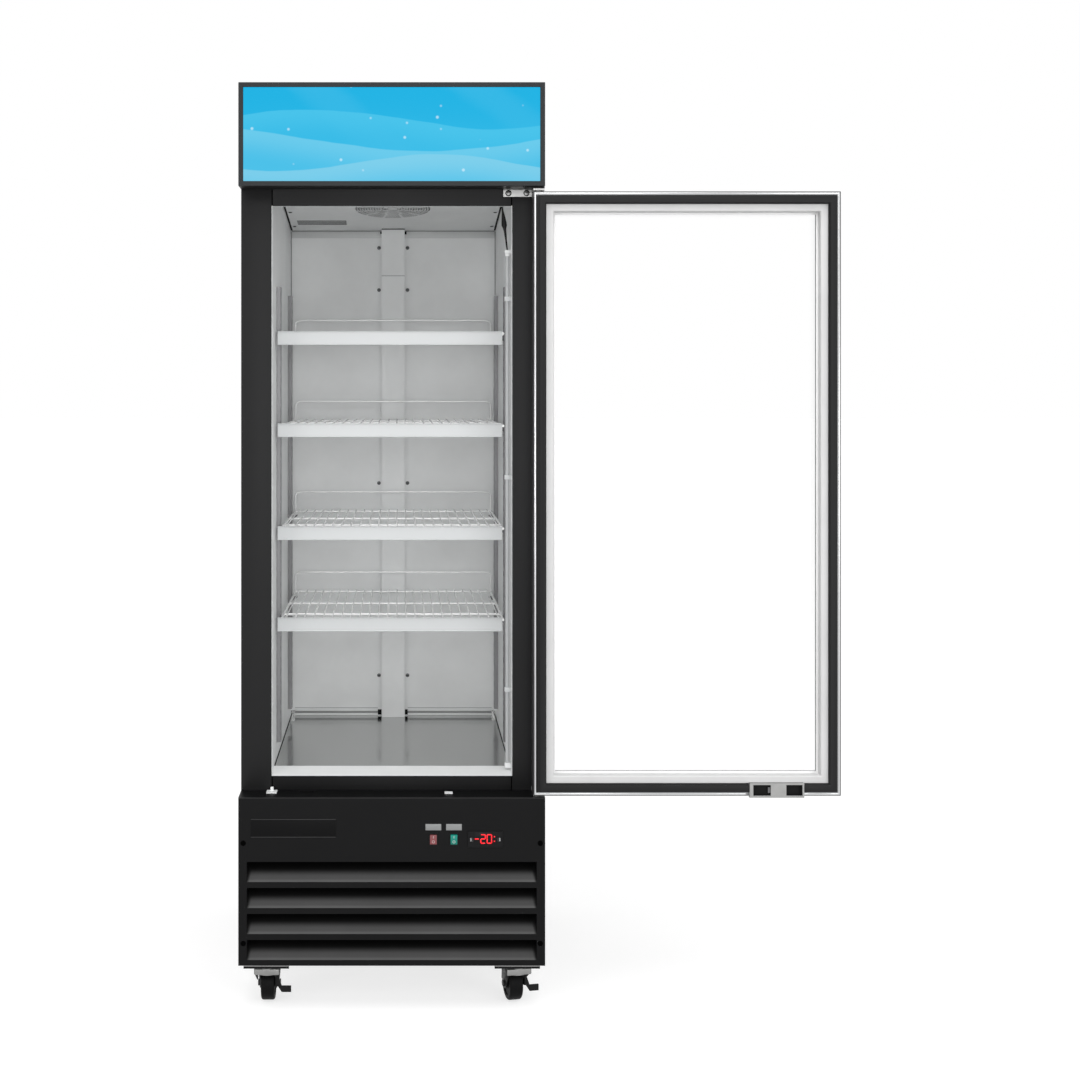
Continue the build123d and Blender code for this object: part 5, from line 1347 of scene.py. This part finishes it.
# %% Gasket
DOOR_X, DOOR_Z, GASKET_BREAK = (317.0, 1003.0), (482.7, 1832.4), (796.0, 920.0)
FLANGE, HINGE_FLANGE, FOLD_ANGLE = 8, 5.6, 60  # inset of the outer edge, and the same at the hinges
BELLOWS = (  # inset and y of each point of the section
    (8, -64), (28, -64), (28, -65.8), (26.4, -67.2), (24.6, -68.4), (27, -69.9), (27, -71.3), (25.4, -72.3),
    (26, -73.2), (26, -74.7), (25.2, -75.5), (12.8, -75.5), (12, -74.7), (12, -73.2), (12.6, -72.3),
    (9.4, -71.3), (9.4, -69.9), (11.4, -68.4), (9.6, -67.2), (8, -65.8),
)


def gasket_path(inset):
    """The (x, z) corners of a line round the door, from one side of the break to the other."""
    left = DOOR_X[0] + (HINGE_FLANGE if inset == FLANGE else inset)
    right = DOOR_X[1] - inset
    low, high = DOOR_Z[0] + inset, DOOR_Z[1] - inset
    corners = [(right, low), (right, high), (left, high), (left, low)]
    return [(GASKET_BREAK[1], low)] + corners + [(GASKET_BREAK[0], low)]


def gasket():
    work = bmesh.new()
    rails = []
    for inset, y in BELLOWS:
        rails.append([work.verts.new((x / MM, y / MM, z / MM)) for x, z in gasket_path(inset)])
    for first, second in zip(rails, rails[1:] + rails[:1]):
        for i in range(len(first) - 1):
            work.faces.new((first[i], first[i + 1], second[i + 1], second[i]))
    for end in (0, -1):
        work.faces.new([rail[end] for rail in rails])
    bmesh.ops.recalc_face_normals(work, faces=work.faces)
    made = smooth_by_angle(mesh_object("door_seal", work), FOLD_ANGLE)
    return dress(made, gasket_rubber, "door", ["door_gasket"])


print("gasket faces", len(gasket().data.polygons))

# %% [markdown]
# ## Lines round the door's rim
# The rim's face is one extrusion. On it lie a bright flat band, a painted highlight, and a dark outer band,
# painted shade along the rounded edge; both are only a few millimetres wide. They could be drawn in the
# rim's material, but its edges are rounded and a drawn line would smear there. So each is a flat ring let
# into the face, and one function lays both.

# %% Painted highlight band and painted shade edge
HIGHLIGHT_BAND, SHADE_BAND, RING_Y = (2.0, 5.5), (0.2, 1.9), (-64.35, -63.95)


def rim_ring(name, inset, finish):
    """A flat ring on the rim's face, broken where the lock housing crosses it."""
    near, far = inset
    stiles = [(DOOR_X[0] + near, DOOR_X[0] + far), (DOOR_X[1] - far, DOOR_X[1] - near)]
    rails = [(DOOR_Z[0] + near, DOOR_Z[0] + far), (DOOR_Z[1] - far, DOOR_Z[1] - near)]
    left, right = stiles[0][1], stiles[1][0]
    boxes = bars([(left, GASKET_BREAK[0]), (GASKET_BREAK[1], right)], RING_Y, rails[0])
    boxes += bars([(left, right)], RING_Y, rails[1])
    boxes += bars(stiles, RING_Y, z=(rails[0][0], rails[1][1]))
    return slabs(name, boxes, 0.12, finish, "door")


rings = [rim_ring("rim_bead", HIGHLIGHT_BAND, rim_highlight_metal), rim_ring("rim_edge", SHADE_BAND, rim_shade_metal)]
print("rim lines:", [ring.name for ring in rings])

# %% [markdown]
# ## Casters
# A caster is turned and pressed work: a round wheel on a bolt, a fork with a ball race under a plate,
# and on the front pair a brake lever. The wheel and the race are turned from profiles, each drawn about
# its own axis and then carried to its corner and turned as the photograph shows it.

# %% Caster corners and profiles
CORNERS = {  # x, y and turn in degrees of each swivel
    "front_left": (-281.0, -16.0, 0.0),
    "front_right": (281.0, -16.0, 11.5),
    "rear_left": (-281.0, 560.0, 0.0),
    "rear_right": (281.0, 560.0, 0.0),
}
TRAIL, WHEEL_R, WHEEL_HALF, TREAD_ROUND = 28.0, 37.5, 15.5, 5.0


def rounded_tread(steps=6):
    """The tread's profile from one side of the wheel to the other, as (radius, x) points."""
    arc = []
    for i in range(steps + 1):
        angle = math.pi / 2 * i / steps
        radius = WHEEL_R - TREAD_ROUND + TREAD_ROUND * math.sin(angle)
        arc.append((radius, -WHEEL_HALF + TREAD_ROUND - TREAD_ROUND * math.cos(angle)))
    return arc + [(radius, -x) for radius, x in reversed(arc)]


HUB_PROFILE = [(5.05, -15.3), (11, -15.3), (12, -14.6), (13, -12.6), (26, -12.6), (27.2, -14.6)]
WHEEL_PROFILE = HUB_PROFILE + rounded_tread() + [(radius, -x) for radius, x in reversed(HUB_PROFILE)]
# The race gap is a near-black ring: painted shade under the plate.
RACE_PROFILE = [(27.6, 88.5), (28.75, 88.5), (28.75, 90.2), (27.6, 90.2)]
CUP_PROFILE = [(27.6, 90.4), (29.2, 90.6), (29.6, 92.4), (29.2, 94.4), (27.6, 94.6)]


def corner_matrix(corner):
    x, y, turn = CORNERS[corner]
    return Matrix.Translation((x / MM, y / MM, 0)) @ Matrix.Rotation(math.radians(turn), 4, "Z")


print("wheel profile points:", len(WHEEL_PROFILE))

# %% [markdown]
# ## Fork skins
# The fork's crown has a skirt, and its legs lean in from there towards the axle. The solids' legs are
# plain, so thin skins are laid over them: boxes for the skirt and its cheeks, and for each leg a tapered
# plate between a wide top and a narrow low end. The cheeks and the leg plates are black: painted shade on
# the fork's sides.

# %% Leg skins
YOKE = bars([(-28.3, 28.3)], y=(-28.3, 10), z=(73.6, 88.3))
# The cheeks are black boxes beside the skirt: painted shade.
SHADE_CHEEKS = bars([(-28.6, -28.3), (28.3, 28.6)], y=(-26, 8), z=(75, 87))
WING_TOP = ((25.2, -20, 74), (28.2, -20, 74), (28.2, 20, 74), (25.2, 20, 74))
WING_LOW = ((23.8, 14, 48), (25.4, 14, 48), (25.4, 32, 48), (23.8, 32, 48))


def leg_wings(name):
    """The fork's outer skins: two plates that lean in from the yoke's sides towards the axle."""
    work = bmesh.new()
    for side in (-1, 1):
        top, low = [
            [work.verts.new((side * x / MM, y / MM, z / MM)) for x, y, z in ring]
            for ring in (WING_TOP, WING_LOW)
        ]
        work.faces.new(top)
        work.faces.new(low)
        for i in range(len(top)):
            after = (i + 1) % len(top)
            work.faces.new((top[i], top[after], low[after], low[i]))
    bmesh.ops.recalc_face_normals(work, faces=work.faces)
    round_edges(work, work.edges, 0.5, 2)
    return smooth_by_angle(mesh_object(name, work), SMOOTH_ANGLE)


print("skin boxes:", len(YOKE + SHADE_CHEEKS))

# %% [markdown]
# ## Four casters in place
# Wheel, race and skins are drawn once about the swivel's axis and carried to each corner by one matrix,
# so that the turned caster needs no drawing of its own. The wheel rides on the wheel's body and the skins
# on the fork's, because each of them turns on its own joint.

# %% Set the casters
WHEEL_STEPS, RACE_STEPS = 56, 48

for corner in CORNERS:
    fork = f"fork_{corner}"
    wheel = lathe(f"wheel_{corner}", WHEEL_PROFILE, WHEEL_STEPS, "X")
    axle = Matrix.Translation((0, TRAIL / MM, WHEEL_R / MM))
    wheel.data.transform(corner_matrix(corner) @ axle)
    dress(wheel, wheel_rubber, f"wheel_{corner}", [f"caster_wheel_{corner}"])
    soften(f"caster_fork_{corner}", fork_finish, 0.8)
    race = lathe(f"race_gap_{corner}", RACE_PROFILE, RACE_STEPS)
    dress(race, screw_black, fork)
    cup = lathe(f"race_cup_{corner}", CUP_PROFILE, RACE_STEPS)
    dress(cup, bright_zinc, fork)
    yoke = slabs(f"yoke_{corner}", YOKE, 3.0, fork_finish, fork, segments=3)
    # Cheeks and leg plates take the black lever coat: painted shade on the fork's sides.
    shade_cheeks = slabs(f"yoke_cheeks_{corner}", SHADE_CHEEKS, 0.1, lever_coat, fork, segments=1)
    wings = dress(leg_wings(f"leg_wings_{corner}"), lever_coat, fork)
    for made in (race, cup, yoke, shade_cheeks, wings):
        made.data.transform(corner_matrix(corner))
for corner in ("front_left", "front_right"):
    soften(f"brake_lever_{corner}", lever_coat, 2.5, 3)
print("casters set:", list(CORNERS))

# %% [markdown]
# ## Caster plates
# Each caster is bolted to the base by a plate whose front and rear edges are folded. The plates and bolts
# are rounded copies, and along each fold lies a black slip of sheet as painted shade under the plate's
# edge.

# %% Plates, lips and bolts
PLATE_HALF, LIP_OUT, LIP_HALF, LIP_Z = 50.9, 39.3, 1.1, (93.4, 98.6)

soften("caster_plates", bright_zinc, 0.6)
plate_shade_lips = []
for x, y, _ in CORNERS.values():
    for lip in (y - LIP_OUT, y + LIP_OUT):
        plate_shade_lips += bars([(x - PLATE_HALF, x + PLATE_HALF)], (lip - LIP_HALF, lip + LIP_HALF), LIP_Z)
# Black slips along the plate's folds: painted shade.
slabs("caster_plate_lips", plate_shade_lips, 0.4, lever_coat, "cabinet")
soften("caster_bolts", bright_zinc, 0.6)
print("plate lips:", len(plate_shade_lips))

# %% [markdown]
# ## Machine compartment
# Behind the louvres sit the compressor, the condenser with its fan, and a drip tray. They only show as
# dark shapes through the slats and from behind, so each keeps its solid's mesh and just gets its finish.

# %% Machinery
machinery = {
    "compressor": can_coat,
    "condenser_coil": fin_metal,
    "condenser_fan": fan_plastic,
    "condenser_fan_motor": motor_steel,
    "drip_tray": black_plastic,
}
for node, finish in machinery.items():
    paint(node, finish)
print("machinery dressed:", len(machinery))

# %% [markdown]
# ## Floor and background
# The photograph is cut out on white. More light would bleach the object, so the white comes from the
# background itself: the floor adds a plain glow to a matt surface that takes little light, and the world
# is brighter for rays that look at it than for rays that light the object. Light Path tells them apart,
# and counts looking in a reflection or through glass as looking. The floor still shows a soft shadow.

# %% Floor and world
FLOOR_GLOW, FLOOR_GREY, FLOOR_HALF = 0.66, (0.46, 0.46, 0.46, 1), 60
WORLD_LIGHT, WORLD_SEEN = 0.78, 1.0


def looked_at(wiring):
    """1 for rays from the camera, in gloss or through glass, and 0 for rays that only light things."""
    kinds = ("Is Camera Ray", "Is Glossy Ray", "Is Transmission Ray")
    camera_ray, gloss_ray, glass_ray = [wiring.node("ShaderNodeLightPath", output=kind) for kind in kinds]
    return wiring.math("MAXIMUM", wiring.math("MAXIMUM", camera_ray, gloss_ray), glass_ray)


def floor_material():
    made = bpy.data.materials.new("studio_floor")
    made.use_nodes = True
    floor = Wiring(made.node_tree)
    floor.tree.nodes.remove(floor.tree.nodes["Principled BSDF"])
    glow = floor.node("ShaderNodeEmission", {}, {"Strength": looked_at(floor) * FLOOR_GLOW})
    matt = floor.node("ShaderNodeBsdfDiffuse", {}, {"Color": FLOOR_GREY})
    both = floor.node("ShaderNodeAddShader", {}, {0: glow, 1: matt})
    floor.link(both, floor.tree.nodes["Material Output"].inputs["Surface"])
    return made


corners = [(x * FLOOR_HALF, y * FLOOR_HALF, 0) for x, y in ((-1, -1), (1, -1), (1, 1), (-1, 1))]
floor_mesh = bpy.data.meshes.new("studio_floor")
floor_mesh.from_pydata(corners, [], [(0, 1, 2, 3)])
floor_mesh.materials.append(floor_material())
new_object("studio_floor", floor_mesh)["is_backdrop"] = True

scene.world = bpy.data.worlds.new("studio_world")
scene.world.use_nodes = True
sky = Wiring(scene.world.node_tree)
levels = {"Value": looked_at(sky), "To Min": WORLD_LIGHT, "To Max": WORLD_SEEN}
background = sky.tree.nodes["Background"]
sky.link(sky.node("ShaderNodeMapRange", {}, levels), background.inputs["Strength"])
sky.link((1, 1, 1, 1), background.inputs["Color"])
print("floor and world made")

# %% [markdown]
# ## Lamps
# Plain studio light: large soft lamps, one overhead, which draws the slats, two in front, which reach
# into the cabin, and one on each side, whose light falls through the opening on the far side wall. A
# lamp at the height of the door would stand in its glass as a hard white panel when the door is shut.
# Light linking leaves the glass out of the three lamps that stand there, and they still light the rest.

# %% Softboxes
def softbox(name, place, aim, size, watts):
    made = new_object(name, bpy.data.lights.new(name, "AREA"))
    made.location = place
    made.rotation_euler = (Vector(aim) - Vector(place)).to_track_quat("-Z", "Y").to_euler()
    made.data.shape = "RECTANGLE"
    made.data.size, made.data.size_y = size
    made.data.energy = watts
    return made


softbox("overhead", (0.3, -1.3, 4.4), (0.3, -0.2, 0.6), (3.5, 2.5), 55)
softbox("front_high", (0.2, -4.6, 3.9), (0.2, 0.2, 1.0), (3.2, 1.2), 30)
level_lamps = [
    softbox("front_level", (0.02, -4.6, 1.25), (0.02, 0.0, 1.25), (0.9, 1.8), 34),
    softbox("from_right", (3.2, -3.3, 1.3), (-0.2, 0.2, 1.2), (1.2, 2.0), 34),
    softbox("from_left", (-3.2, -3.3, 1.3), (0.2, 0.2, 1.2), (1.2, 2.0), 22),
]
unmirrored = bpy.data.collections.new("no_lamp_in_the_glass")
unmirrored.objects.link(nodes["glass_panes"])
unmirrored.collection_objects[0].light_linking.link_state = "EXCLUDE"
for lamp in level_lamps:
    lamp.light_linking.receiver_collection = unmirrored
print("studio lit, with", len(level_lamps), "lamps kept out of the glass")

# %% [markdown]
# ## Size of the dressed object
# Finishes and trim mustn't change the object's size, so the box of the dressed object is printed at the
# end.

# %% Size of the dressed object
low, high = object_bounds()
print("visual box", [round(v, 4) for v in (*low, *high)])
